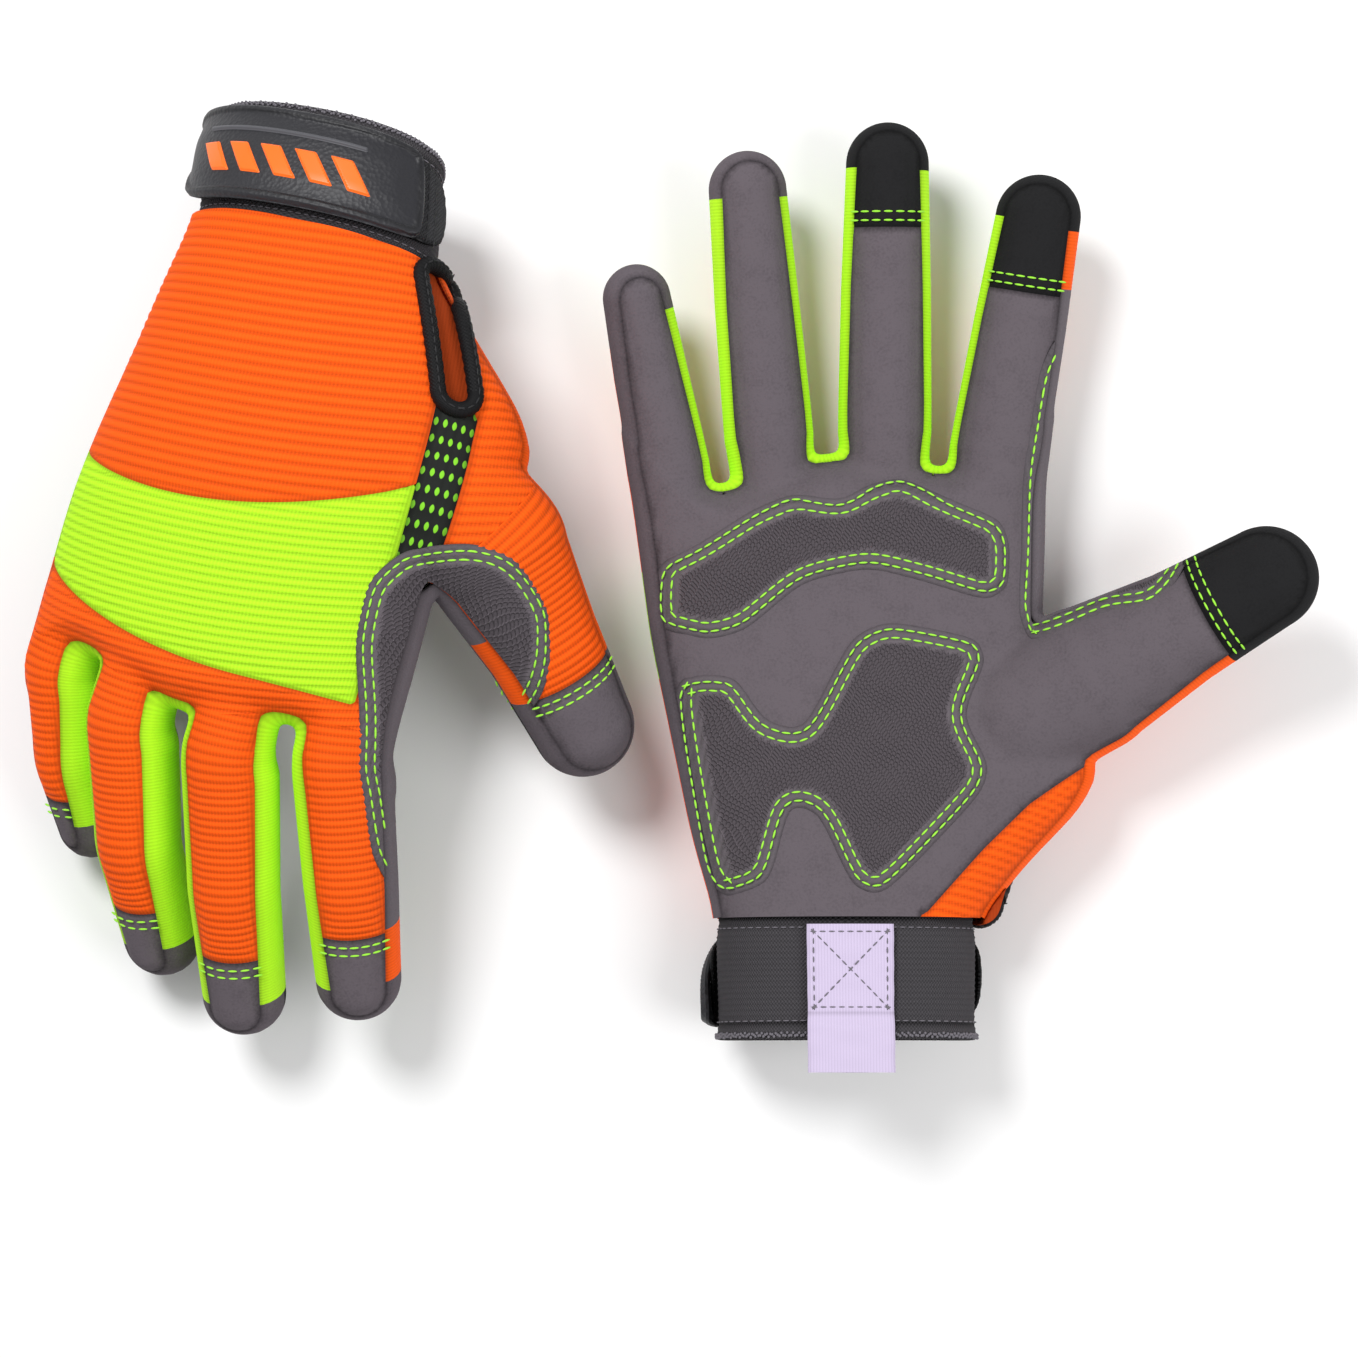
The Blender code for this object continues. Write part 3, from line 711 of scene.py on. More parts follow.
def makeMaterial(name, look):
    material = bpy.data.materials.new(name)
    material.use_nodes = True
    tree = material.node_tree
    shader = tree.nodes["Principled BSDF"]
    shader.inputs["Roughness"].default_value = look["rough"]
    shader.inputs["Metallic"].default_value = 0.0
    shader.inputs["Specular IOR Level"].default_value = look.get("gloss", 0.15)
    shader.inputs["Base Color"].default_value = (*look["colour"], 1.0)
    if not look["finish"]:
        return material
    finish = tree.nodes.new("ShaderNodeGroup")
    finish.node_tree = finishes[look["finish"]]
    finish.inputs["Colour"].default_value = (*look["colour"], 1.0)
    coordinates = tree.nodes.new("ShaderNodeTexCoord")
    tree.links.new(coordinates.outputs["Object"], finish.inputs["Vector"])
    pattern = tree.nodes.new("ShaderNodeUVMap")
    pattern.uv_map = "pattern"
    tree.links.new(pattern.outputs["UV"], finish.inputs["Pattern"])
    for label in ("Shade", "Net"):
        attribute = tree.nodes.new("ShaderNodeAttribute")
        attribute.attribute_name = label.lower()
        tree.links.new(attribute.outputs["Fac"], finish.inputs[label])
    bump = tree.nodes.new("ShaderNodeBump")
    bump.inputs["Strength"].default_value = look["bump"]
    bump.inputs["Distance"].default_value = cloth["bump"]
    tree.links.new(finish.outputs["Height"], bump.inputs["Height"])
    tree.links.new(finish.outputs["Colour"], shader.inputs["Base Color"])
    tree.links.new(bump.outputs["Normal"], shader.inputs["Normal"])
    return material


materials = {name: makeMaterial(name, look) for name, look in looks.items()}
print("stage: materials ready")


# The sheets before they are trimmed: where they start and how far they reach past a digit.
sheets = {"handLow": (-64, outline["cuffTop"]), "handHigh": (84, 166), "side": 6.0, "end": 2.0,
          "fingerStart": -26.0, "thumbStart": -8.0,
          "plain": (1.5, 1.5), "ribbedHand": (2.0, 0.5), "ribbedDigit": (1.6, 0.5)}


def digitSheet(digit, steps):
    shape = digits[digit]
    reach = shape["radii"][0] + sheets["side"]
    low = sheets["thumbStart" if digit == "thumb" else "fingerStart"]
    return lattice((-reach, low), (reach, shape["long"] + sheets["end"]), sheets[steps],
                   shape["knuckle"], shape["angle"])


def onSkin(side):
    return lambda u, v: skinField(u, v) - outline["bandLevel"][side]


def belongsTo(owner):
    return lambda u, v: territory(u, v, owner)


def aheadOf(digit, line, sign=1.0):
    return lambda u, v: sign * (digitCoords(u, v, digit)[0] - line)


def greySide(u, v):
    return -thumbSide(u, v)


def makeHandSheets(name):
    plain, ribbed = (lattice(sheets["handLow"], sheets["handHigh"], sheets[steps])
                     for steps in ("plain", "ribbedHand"))
    palm = trimmed(plain, [belongsTo("hand"), onSkin("palm"), greySide])
    sewCloth("palmSuede", name, "hand", None, "palm", palm, "suede", nodes=["palm_panel"])
    edge = trimmed(ribbed, [belongsTo("hand"), onSkin("palm"), thumbSide])
    sewCloth("thumbEdge", name, "hand", None, "palm", edge, "orange", knits["hand"])
    back = trimmed(ribbed, [belongsTo("hand"), onSkin("back"), slitSide])
    for label, look, knit, node in (
            ("back", "orange", "hand", "back_panel"), ("stripe", "lime", "fine", "back_stripe"),
            ("knuckle", "orange", "fine", "knuckle_panel"),
            ("gusset", "gusset", None, "mesh_gusset"),
            ("thumb", "orange", "hand", "thumb_panel")):
        sewCloth(f"{label}Panel", name, "hand", None, "back", cut(back, backFields[label]), look,
                 knits.get(knit), [node])


slit = {"start": (36.0, 36.0), "end": (44.0, 63.0), "half": 3.6, "lip": 0.8, "tube": 2.1,
        "puckers": 0.12, "step": 0.9, "sides": 12, "lift": 0.6, "stitchLift": 2.15,
        "liningReach": 2.2, "liningDepth": 3.0, "liningSteps": (0.9, 0.9)}


def slitSide(u, v):
    # positive outside the wrist's vent
    return -capsule(u, v, slit["start"], slit["end"], slit["half"], slit["half"])


def makeDigitSheets(name, digit):
    shape, knit = digits[digit], knits["fine"]
    middle, touch = shape["first"] / 2, shape["touch"] or shape["long"] + 5.0
    halves = {"base": aheadOf(digit, middle, -1.0), "tip": aheadOf(digit, middle)}
    plain, ribbed = digitSheet(digit, "plain"), digitSheet(digit, "ribbedDigit")
    palm = trimmed(plain, [belongsTo(digit), onSkin("palm")])
    back = trimmed(ribbed, [belongsTo(digit), onSkin("back")])
    grey = [greySide] if digit == "thumb" else []

    def sew(label, part, side, sheet, look, knit=None, nodes=()):
        sewCloth(f"{digit}_{label}", name, digit, part, side, sheet, look, knit, nodes)

    if digit == "thumb":
        orange = trimmed(ribbed, [belongsTo(digit), onSkin("palm"), thumbSide])
        for part, half in halves.items():
            sew(f"{part}Edge", part, "palm", cut(orange, half), "orange", knit)
    sew("basePalm", "base", "palm", trimmed(palm, [halves["base"]] + grey), "suede")
    sew("tipPalm", "tip", "palm",
        trimmed(palm, [halves["tip"], aheadOf(digit, touch, -1.0)] + grey), "suede")
    if shape["touch"]:
        sew("touchTip", "tip", "palm", cut(palm, aheadOf(digit, touch)), "touch")
    sew("baseBack", "base", "back", cut(back, halves["base"]), "orange", knit,
        [f"{digit}_base"])
    sew("tipBack", "tip", "back",
        trimmed(back, [halves["tip"], aheadOf(digit, shape["cap"], -1.0)]), "orange", knit,
        [f"{digit}_end"])
    cap = trimmed(plain, [belongsTo(digit), onSkin("back"), aheadOf(digit, shape["cap"])])
    sew("capBack", "tip", "back", cap, "suede", nodes=[f"{digit}_cap"])


for gloveName in gloves:
    makeHandSheets(gloveName)
    for digitName in digits:
        makeDigitSheets(gloveName, digitName)
print("stage: panels sewn")


# The strip of cloth round the glove's edge, sewn between its palm and its back.
band = {"step": 0.8, "rows": (90, 68, 48, 30, 15), "tuck": 0.35, "limeEnd": 13.0,
        "saddleIndex": 46.0, "saddleThumb": 19.0, "orangeEnd": 95.0, "saddleStart": 42.0,
        "start": -36.0, "most": 3000, "wall": 1.0, "rowShade": (1.0, 0.35), "rowTuck": (1.0, 0.25)}


def traceOutline():
    # follows the outline from the hem on the little finger's side round to the thumb's side
    p = np.array([band["start"], outline["cuffTop"]])
    found = []
    while len(found) < band["most"]:
        for _ in range(3):
            f = float(skinField(p[:1], p[1:])[0])
            slope = np.array([float(g[0]) for g in skinSlope(p[:1], p[1:])])
            p = p - f * slope / max(slope @ slope, 1e-6)
        found.append(p)
        if len(found) > 100 and p[0] > 0 and p[1] < outline["cuffTop"]:
            break
        p = p + band["step"] * np.array([-slope[1], slope[0]]) / np.linalg.norm(slope)
    return np.array(found)


edgeLine = traceOutline()
print("stage: outline traced,", len(edgeLine), "points")


def stationOwner(u, v):
    # which piece of the glove each point of the outline belongs to, and its share along it
    point = np.array([u]), np.array([v])
    for digit in digits:
        if territory(*point, digit)[0] > 0:
            s, t = (float(x[0]) for x in digitCoords(*point, digit))
            return digit, "base" if s < digits[digit]["first"] / 2 else "tip", s, t
    return "hand", None, 0.0, 0.0


def stationLooks(u, v):
    # what the band is made of there, on the palm's half and on the back's half
    owner, part, s, t = stationOwner(u, v)
    if owner == "hand":
        if u < 0:
            inStripe = seams["stripeTop"](u) < v < seams["stripeBottom"](u)
            return owner, part, "suede", "lime" if inStripe else "orange"
        if v < band["orangeEnd"]:
            return owner, part, "orange", "orange"
        if u > band["saddleStart"]:
            return owner, part, "pad", "pad"
        return owner, part, "lime", "lime"
    shape = digits[owner]
    onTip = s > shape["long"] - band["limeEnd"]
    inner, outer = (t < 0, t > 0) if owner == "thumb" else (t > 0, t < 0)
    tipPalm = "touch" if shape["touch"] else "suede"
    if owner == "thumb":
        if outer or s > shape["touch"]:
            past = s > shape["touch"]
            return owner, part, tipPalm if past else "orange", "suede" if past else "orange"
        if s < band["saddleThumb"]:
            return owner, part, "pad", "pad"
        return owner, part, "suede", "orange"
    if onTip:
        return owner, part, tipPalm, "suede"
    if owner == "index" and inner:
        if s < band["saddleIndex"]:
            return owner, part, "pad", "pad"
        return owner, part, "orange", "orange"
    if owner == "pinky" and outer:
        return owner, part, "suede", "orange" if s < shape["cap"] else "suede"
    return owner, part, "lime", "lime"


def bandStations():
    # points in from the outline to each level of the skin field, on the flat pattern
    angles = [math.radians(a) for a in band["rows"]]
    levels = [outline["bandLevel"]["palm"] * math.sin(a) ** 2 for a in angles] + [0.0]
    levels += [outline["bandLevel"]["back"] * math.sin(a) ** 2 for a in reversed(angles)]
    signs = [1.0] * len(angles) + [0.0] + [-1.0] * len(angles)
    u, v = edgeLine[:, 0], edgeLine[:, 1]
    rows = []
    for level in levels:
        a, b = u.copy(), v.copy()
        for _ in range(4):
            f = skinField(a, b) - level
            du, dv = skinSlope(a, b)
            scale = f / np.maximum(du * du + dv * dv, 4.0)
            a, b = a - du * scale, b - dv * scale
        rows.append((a, b))
    return rows, levels, signs


bandRows, bandLevels, bandSigns = bandStations()
bandLooks = [stationLooks(*p) for p in edgeLine.tolist()]


def unit(v):
    return v / np.maximum(np.linalg.norm(v, axis=-1), 1e-9)[..., None]


def makeBand(name):
    plump = gloves[name]["plump"]
    owners = [look[0] for look in bandLooks]
    grid = np.zeros((len(edgeLine), len(bandRows), 3))
    for owner in set(owners):
        mine = np.array([o == owner for o in owners])
        for k, (a, b) in enumerate(bandRows):
            w = bandSigns[k] * plump * math.sqrt(bandLevels[k])
            flat = np.stack([a, b, np.full_like(a, w)], axis=1)[mine]
            grid[mine, k] = placeSkin(flat, name, owner)
    normals = unit(np.cross(np.gradient(grid, axis=0), np.gradient(grid, axis=1)))
    middle = len(band["rows"])
    outward = np.sum((grid[:, middle] - grid[:, [0, -1]].mean(axis=1)) * normals[:, middle])
    normals *= np.sign(outward)
    shade = np.zeros(len(bandRows))
    # painted shade on the tucked rows at both edges of the strip, where it is sewn to the panels
    for k, tuck, dark in zip((0, 1), band["rowTuck"], band["rowShade"]):
        for row in (k, -1 - k):
            grid[:, row] -= normals[:, row] * band["tuck"] * tuck
            shade[row] = dark
    count, starts = {}, [0]
    for i in range(1, len(bandLooks)):
        if bandLooks[i] != bandLooks[i - 1]:
            starts.append(i)
    for start, end in zip(starts, starts[1:] + [len(bandLooks)]):
        owner, part, palmLook, backLook = bandLooks[start]
        last = min(end + 1, len(bandLooks))
        halves = [(palmLook, 0, len(bandRows))]
        if palmLook != backLook:
            halves = [(palmLook, 0, middle + 1), (backLook, middle, len(bandRows))]
        for look, low, high in halves:
            n, m = last - start, high - low
            if n < 2:
                continue
            label = f"{owner}{'_' + part if part else ''}Side{look.capitalize()}"
            count[label] = count.get(label, 0) + 1
            corner = (np.arange(n - 1)[:, None] * m + np.arange(m - 1)[None, :]).reshape(-1)
            quads = np.stack([corner, corner + m, corner + m + 1, corner + 1], axis=1)
            if outward <= 0:
                quads = quads[:, ::-1]
            a, b = np.meshgrid(np.arange(start, last) * band["step"], np.arange(low, high) * 1.0,
                               indexing="ij")
            obj = makePiece(f"{name}.{label}{count[label]}",
                            grid[start:last, low:high].reshape(-1, 3), quads.tolist(),
                            normals[start:last, low:high].reshape(-1, 3),
                            np.stack([a.reshape(-1), b.reshape(-1)], axis=1), materials[look],
                            band["wall"], np.tile(shade[low:high], n))
            fasten(obj, name, owner, part)


for gloveName in gloves:
    makeBand(gloveName)
print("stage: side strips sewn")


# Stitches: a row of short threads along each curve, made by one node group.
def stitchGroup():
    tree = bpy.data.node_groups.new("stitchRow", "GeometryNodeTree")
    for label, kind in (("Row", "NodeSocketGeometry"), ("Pitch", "NodeSocketFloat"),
                        ("Length", "NodeSocketFloat"), ("Thickness", "NodeSocketFloat"),
                        ("Thread", "NodeSocketMaterial")):
        tree.interface.new_socket(label, in_out="INPUT", socket_type=kind)
    tree.interface.new_socket("Stitches", in_out="OUTPUT", socket_type="NodeSocketGeometry")
    group, out = tree.nodes.new("NodeGroupInput"), tree.nodes.new("NodeGroupOutput")
    resample = tree.nodes.new("GeometryNodeResampleCurve")
    resample.mode = "LENGTH"
    thread = tree.nodes.new("GeometryNodeMeshUVSphere")
    thread.inputs["Segments"].default_value = 6
    thread.inputs["Rings"].default_value = 5
    thread.inputs["Radius"].default_value = 0.5
    tangent = tree.nodes.new("GeometryNodeInputTangent")
    turn = tree.nodes.new("FunctionNodeAlignRotationToVector")
    turn.axis = "Z"
    size = tree.nodes.new("ShaderNodeCombineXYZ")
    place = tree.nodes.new("GeometryNodeInstanceOnPoints")
    realize = tree.nodes.new("GeometryNodeRealizeInstances")
    smoothNode = tree.nodes.new("GeometryNodeSetShadeSmooth")
    paint = tree.nodes.new("GeometryNodeSetMaterial")
    link = tree.links.new
    link(group.outputs["Row"], resample.inputs["Curve"])
    link(group.outputs["Pitch"], resample.inputs["Length"])
    link(resample.outputs[0], place.inputs["Points"])
    link(thread.outputs["Mesh"], place.inputs["Instance"])
    link(tangent.outputs[0], turn.inputs["Vector"])
    link(turn.outputs[0], place.inputs["Rotation"])
    for socket, label in zip(size.inputs, ("Thickness", "Thickness", "Length")):
        link(group.outputs[label], socket)
    link(size.outputs[0], place.inputs["Scale"])
    link(place.outputs[0], realize.inputs[0])
    link(realize.outputs[0], smoothNode.inputs[0])
    link(smoothNode.outputs[0], paint.inputs[0])
    link(group.outputs["Thread"], paint.inputs["Material"])
    link(paint.outputs[0], out.inputs[0])
    return tree


stitchNodes = stitchGroup()
threads = {
    "lime": {"Pitch": 2.9, "Length": 2.5, "Thickness": 0.62, "Thread": "limeThread"},
    "grey": {"Pitch": 2.2, "Length": 1.7, "Thickness": 0.4, "Thread": "greyThread"},
    "dark": {"Pitch": 2.6, "Length": 2.1, "Thickness": 0.45, "Thread": "darkThread"},
    "overlock": {"Pitch": 0.9, "Length": 0.75, "Thickness": 0.9, "Thread": "greyThread"},
}


def makeStitches(label, name, owner, part, lines, thread):
    # lines are lists of world points in millimetres
    lines = [line for line in lines if len(line) > 2]
    if not lines:
        return
    curve = bpy.data.curves.new(f"{name}.{label}", "CURVE")
    curve.dimensions = "3D"
    for line in lines:
        spline = curve.splines.new("POLY")
        spline.points.add(len(line) - 1)
        flat = np.concatenate([np.asarray(line) * mm, np.ones((len(line), 1))], axis=1)
        spline.points.foreach_set("co", flat.astype(np.float32).reshape(-1))
    source = bpy.data.objects.new(f"{name}.{label}Row", curve)
    bpy.context.scene.collection.objects.link(source)
    modifier = source.modifiers.new("stitches", "NODES")
    modifier.node_group = stitchNodes
    settings = threads[thread]
    for item in stitchNodes.interface.items_tree:
        if item.name in settings:
            value = settings[item.name]
            isThread = item.name == "Thread"
            modifier[item.identifier] = materials[value] if isThread else value * mm
    bpy.context.view_layer.update()
    graph = bpy.context.evaluated_depsgraph_get()
    mesh = bpy.data.meshes.new_from_object(source.evaluated_get(graph))
    mesh.name = f"{name}.{label}"
    bpy.data.objects.remove(source)
    obj = bpy.data.objects.new(f"{name}.{label}", mesh)
    bpy.context.scene.collection.objects.link(obj)
    fasten(obj, name, owner, part)


def onSurface(points, name, owner, side, lift):
    flat, normals = skinSurface(points[:, 0], points[:, 1], name, owner, side,
                                lambda a, b: np.zeros_like(a))
    return flat + normals * lift


# Raised pads and patches, each a smooth loop on the flat pattern.
pads = {
    "knucklePad": {"side": "palm", "node": "knuckle_pad", "height": 1.9, "net": 5.3,
                   "rows": (2.1, 4.4), "shoulder": 1.3, "filled": True, "loop": [
                       (-52.2, 126.4), (-41.6, 131.7), (-27.1, 140.9), (-15.3, 145.7),
                       (-2.1, 143.6), (6, 148), (15, 150.1), (29.5, 143.6), (42.7, 138.3),
                       (45.3, 131.7), (44.8, 119.8), (38.7, 115.9), (21.6, 121.2), (5.8, 125.1),
                       (-12.6, 121.2), (-28.4, 108), (-39, 105.4), (-52.2, 109.3)]},
    "heelPad": {"side": "palm", "node": "heel_pad", "height": 2.1, "net": 5.3,
                "rows": (2.1, 4.4), "shoulder": 1.3, "filled": True, "loop": [
                    (-48.2, 94.8), (-40, 97), (-31.1, 96.1), (-23.2, 84.3), (-12.6, 81.7),
                    (0.5, 106.7), (11.1, 111.4), (36.1, 106.7), (38.7, 100.1), (32.1, 85.6),
                    (39.5, 72.4), (37.4, 64.5), (9.7, 36.9), (0.5, 39.5), (-8.7, 59.3),
                    (-16.6, 61.4), (-21.9, 40.8), (-33.7, 36.9), (-39, 43.5)]},
    "palmSaddle": {"side": "palm", "node": "saddle_patch", "height": 0.9, "net": 4.6,
                   "rows": (1.4, 3.4), "shoulder": 0.8, "filled": False, "loop": [
                       (72, 190), (58, 188), (53, 178), (50.6, 164.6), (48.5, 149),
                       (47.9, 128), (46.8, 114), (50, 105), (62, 108.5), (72, 113),
                       (84, 114), (92, 122), (96, 150), (90, 180)]},
    "backSaddle": {"side": "back", "node": None, "height": 1.1, "net": 4.6,
                   "rows": (1.4, 3.4), "shoulder": 0.8, "filled": False, "loop": [
                       (72, 190), (58, 189), (52, 180), (47.5, 162), (43, 145), (37, 128),
                       (36, 113), (42, 103), (56, 97), (70, 98), (81, 103), (88, 112),
                       (93, 124), (98, 150), (92, 180)]},
}
padFinish = {"steps": (0.9, 0.9), "wall": 0.9, "fill": 0.7, "lip": 0.35, "netFade": 0.8,
             "rowDepth": 0.45, "rowWidth": 0.6, "rowShade": 0.5, "edgeShade": 0.8,
             "shadeReach": 0.7, "rimShade": 0.22, "stitchClear": 6.0, "rowSlack": 0.2}


def roundLoop(loop, times=4):
    points = np.array(loop, float)
    for turn in range(times):
        ahead, near = np.roll(points, -1, axis=0), 0.25 if turn else 0.17
        points = np.stack([points * (1 - near) + ahead * near,
                           points * near + ahead * (1 - near)], axis=1).reshape(-1, 2)
    return points


def insideLoop(points):
    # signed distance to a closed loop, positive inside
    a, b = points, np.roll(points, -1, axis=0)

    def field(u, v):
        q = np.stack([u, v], axis=-1)[:, None, :]
        edge = b - a
        t = np.clip(np.sum((q - a) * edge, axis=-1) / np.sum(edge * edge, axis=-1), 0, 1)
        away = q - a - edge * t[..., None]
        distance = np.sqrt(np.min(np.sum(away * away, axis=-1), axis=1))
        spans = (a[:, 1] > q[..., 1]) != (b[:, 1] > q[..., 1])
        rise = np.where(edge[:, 1] == 0, 1e-9, edge[:, 1])
        cross = q[..., 0] < a[:, 0] + (q[..., 1] - a[:, 1]) * edge[:, 0] / rise
        return np.where(np.sum(spans & cross, axis=1) % 2 == 1, distance, -distance)
    return field


def padRelief(pad, field):
    def relief(u, v):
        d = np.maximum(field(u, v), 0.0)
        rise = padFinish["lip"] + pad["height"] * (1 - np.exp(-d / pad["shoulder"]))
        for row in pad["rows"]:
            rise -= padFinish["rowDepth"] * np.exp(-(((d - row) / padFinish["rowWidth"]) ** 2))
        return rise
    return relief


# painted shade at the pad's edge and in its stitch rows; the rim outside the net is a little
# darker too
def padShade(pad, field):
    def shade(u, v):
        d, reach = field(u, v), padFinish["shadeReach"]
        dark = padFinish["edgeShade"] * np.exp(-np.maximum(d, 0) / reach)
        for row in pad["rows"]:
            groove = np.exp(-(((d - row) / reach) ** 2))
            dark = np.maximum(dark, padFinish["rowShade"] * groove)
        return np.maximum(dark, padFinish["rimShade"] * (d < pad["net"]))
    return shade


def padOwners(key):
    # the pieces of the glove that a pad lies on, and the lines that part each one
    owners = [("hand", None, [])]
    if not pads[key]["filled"]:
        for digit in ("index", "thumb"):
            half = digits[digit]["first"] / 2
            owners += [(digit, "base", [aheadOf(digit, half, -1.0)]),
                       (digit, "tip", [aheadOf(digit, half)])]
    return owners


def stitchRows(pad, field):
    # closed lines inside a pad's edge, one for each row of its stitches
    dense = roundLoop(pad["loop"], 5)
    ahead = np.roll(dense, -1, axis=0) - np.roll(dense, 1, axis=0)
    inward = unit(np.stack([-ahead[:, 1], ahead[:, 0]], axis=1))
    test = dense + inward * 0.5
    if np.mean(field(test[:, 0], test[:, 1])) < 0:
        inward = -inward
    return [(row, dense + inward * row) for row in pad["rows"]]


def makePad(name, key):
    pad = pads[key]
    side, loop = pad["side"], roundLoop(pad["loop"])
    field = insideLoop(loop)
    low, high = loop.min(axis=0) - 1, np.minimum(loop.max(axis=0) + 1, (96, 195))
    whole = trimmed(lattice(low, high, padFinish["steps"]), [field, onSkin(side)])
    relief, shade = padRelief(pad, field), padShade(pad, field)

    def net(u, v):
        return smooth((field(u, v) - pad["net"]) / padFinish["netFade"])

    for owner, part, fields in padOwners(key):
        label = f"{key}{'_' + owner if part else ''}{part or ''}"
        piece = trimmed(whole, [belongsTo(owner)] + fields)
        nodes = [pad["node"]] if pad["node"] and owner == "hand" else ()
        obj = skinSheet(label, name, owner, part, side, piece, relief, "pad",
                        padFinish["wall"], shade, net, nodes)
        if obj is None:
            continue
        placed = []
        for row, line in stitchRows(pad, field):
            a, b = line[:, 0], line[:, 1]
            ok = (field(a, b) > row - padFinish["rowSlack"]) & (territory(a, b, owner) > 0)
            ok &= skinField(a, b) > outline["bandLevel"][side] + padFinish["stitchClear"]
            for extra in fields:
                ok &= extra(a, b) > 0
            placed += [onSurface(run, name, owner, side, pad["height"])
                       for run in pieceRuns(line, ok)]
        makeStitches(f"{label}Stitches", name, owner, part, placed, "lime")


def pieceRuns(points, ok):
    # the unbroken runs of a closed line of points where ok holds
    if ok.all():
        return [np.concatenate([points, points[:1]])]
    if not ok.any():
        return []
    first = int(np.argmin(ok))
    points, ok = np.roll(points, -first, axis=0), np.roll(ok, -first)
    runs, start = [], None
    for i, good in enumerate(list(ok) + [False]):
        if good and start is None:
            start = i
        if not good and start is not None:
            if i - start > 4:
                runs.append(points[start:i])
            start = None
    return runs


tipStitches = {"rows": (1.7, 4.0), "lift": 0.55, "reach": 24.0, "step": 0.6, "clear": 3.0}


def crossLine(digit, s, side):
    # a line across a digit, from one side strip to the other
    shape = digits[digit]
    d, knuckle = direction(shape["angle"]), np.array(shape["knuckle"])
    reach, step = tipStitches["reach"], tipStitches["step"]
    t = np.arange(-reach, reach + 0.1, step)
    points = knuckle + d * s + np.outer(t, (d[1], -d[0]))
    level = outline["bandLevel"][side] + tipStitches["clear"]
    return points[skinField(points[:, 0], points[:, 1]) > level]


def makeTipStitches(name, digit):
    for side, line in (("back", digits[digit]["cap"]), ("palm", digits[digit]["touch"])):
        if line:
            rows = [onSurface(crossLine(digit, line + offset, side), name, digit, side,
                              tipStitches["lift"]) for offset in tipStitches["rows"]]
            makeStitches(f"{digit}_{side}TipStitches", name, digit, "tip", rows, "lime")


for gloveName in gloves:
    for padName in pads:
        makePad(gloveName, padName)
    for digitName in digits:
        makeTipStitches(gloveName, digitName)
print("stage: pads and stitches sewn")


# The wrist: elastic cuff, strap with its cover, pull tab and the vent's binding.
wrist = {"half": 34.5, "depth": 16.5, "swell": 0.3, "swellLength": 30.0, "corner": 0.8,
         "middle": 16.5, "sides": 132, "facet": 1.3}


def sectionPoints(angles, v, offset):
    # the cuff's flattened round section; angle 0 is the thumb's edge and 90 the palm
    c, s = np.cos(np.radians(angles)), np.sin(np.radians(angles))
    half = wrist["half"] + wrist["swell"] * smooth(v / wrist["swellLength"]) + offset
    depth = wrist["depth"] + offset
    across = np.sign(c) * np.abs(c) ** wrist["corner"]
    up = np.sign(s) * np.abs(s) ** wrist["corner"]
    return np.stack([half * across, v * np.ones_like(across), depth * up], axis=-1)


# Distances round the section from its middle at the back, positive towards the thumb.
sectionTable = np.linspace(90.0, 450.0, 721)
sectionLine = sectionPoints(sectionTable, wrist["middle"], 2.5)
sectionSteps = np.linalg.norm(np.diff(sectionLine, axis=0), axis=1)
sectionArc = np.concatenate([[0.0], np.cumsum(sectionSteps)])
sectionArc -= np.interp(270.0, sectionTable, sectionArc)


def roundWrist(x, v, offset, middle="back"):
    # a flat-pattern point of a band wrapped round the wrist, at a distance x round it
    turned = 180.0 if middle == "palm" else 0.0
    angle = np.interp(x, sectionArc, sectionTable) - turned
    return sectionPoints(angle, v, offset)


def wrapSurface(x, v, name, middle, offset, reach=0.1):
    # world points and outward normals of a wrapped band; offset may vary over it
    def at(dx, dv):
        a, b = x + dx, v + dv
        return placeSkin(roundWrist(a, b, offset(a, b), middle), name, "hand")

    normals = unit(np.cross(at(reach, 0) - at(-reach, 0), at(0, reach) - at(0, -reach)))
    return at(0, 0), normals


def wrapSheet(label, name, owner, sheet, offset, look, thickness, middle="back", shade=None,
              nodes=(), part=None):
    rows, quads, others = sheet
    x, v = rows[:, 0], rows[:, 1]
    points, normals = wrapSurface(x, v, name, middle, offset)
    centre = placeSkin(np.array([[0.0, wrist["middle"], 0.0]]), name, "hand")
    if np.sum((points - centre) * normals) < 0:
        normals = -normals
    faces = quads.tolist() + others
    a, b, c = (points[list(faces[0])[k]] for k in (0, 1, 2))
    if np.dot(np.cross(b - a, c - b), normals[faces[0][0]]) < 0:
        faces = [tuple(reversed(face)) for face in faces]
    obj = makePiece(f"{name}.{label}", points, faces, normals, rows[:, :2], materials[look],
                    thickness, shade(x, v) if shade else None)
    return fasten(obj, name, owner, part, nodes)


def wrapLine(x, v, name, offset, middle="back"):
    points, normals = wrapSurface(np.asarray(x, float), np.asarray(v, float), name, middle,
                                  lambda a, b: np.full_like(a, offset))
    return points


# The cuff along its length; each hem or waist has its place, its width and its height, and each
# shade line its place, its width and the painted shade it adds.
cuff = {"length": 34.0, "step": 0.5, "wall": 1.1, "ribPitch": 1.5, "ribHeight": 0.12,
        "ribShade": 0.12, "hem": (1.6, 1.5, 0.45), "waist": (31.0, 3.0, -0.7),
        "foldShade": (3.9, 0.5, 0.8),
        "innerShade": (33.0, 2.5, 0.9), "overlock": (0.4, 0.75), "zigzag": 1.1,
        "seams": ((4.6, 0.35), (29.2, -0.25)), "turns": 240}


def hump(v, key):
    middle, width, height = cuff[key]
    return height * math.exp(-(((v - middle) / width) ** 2))


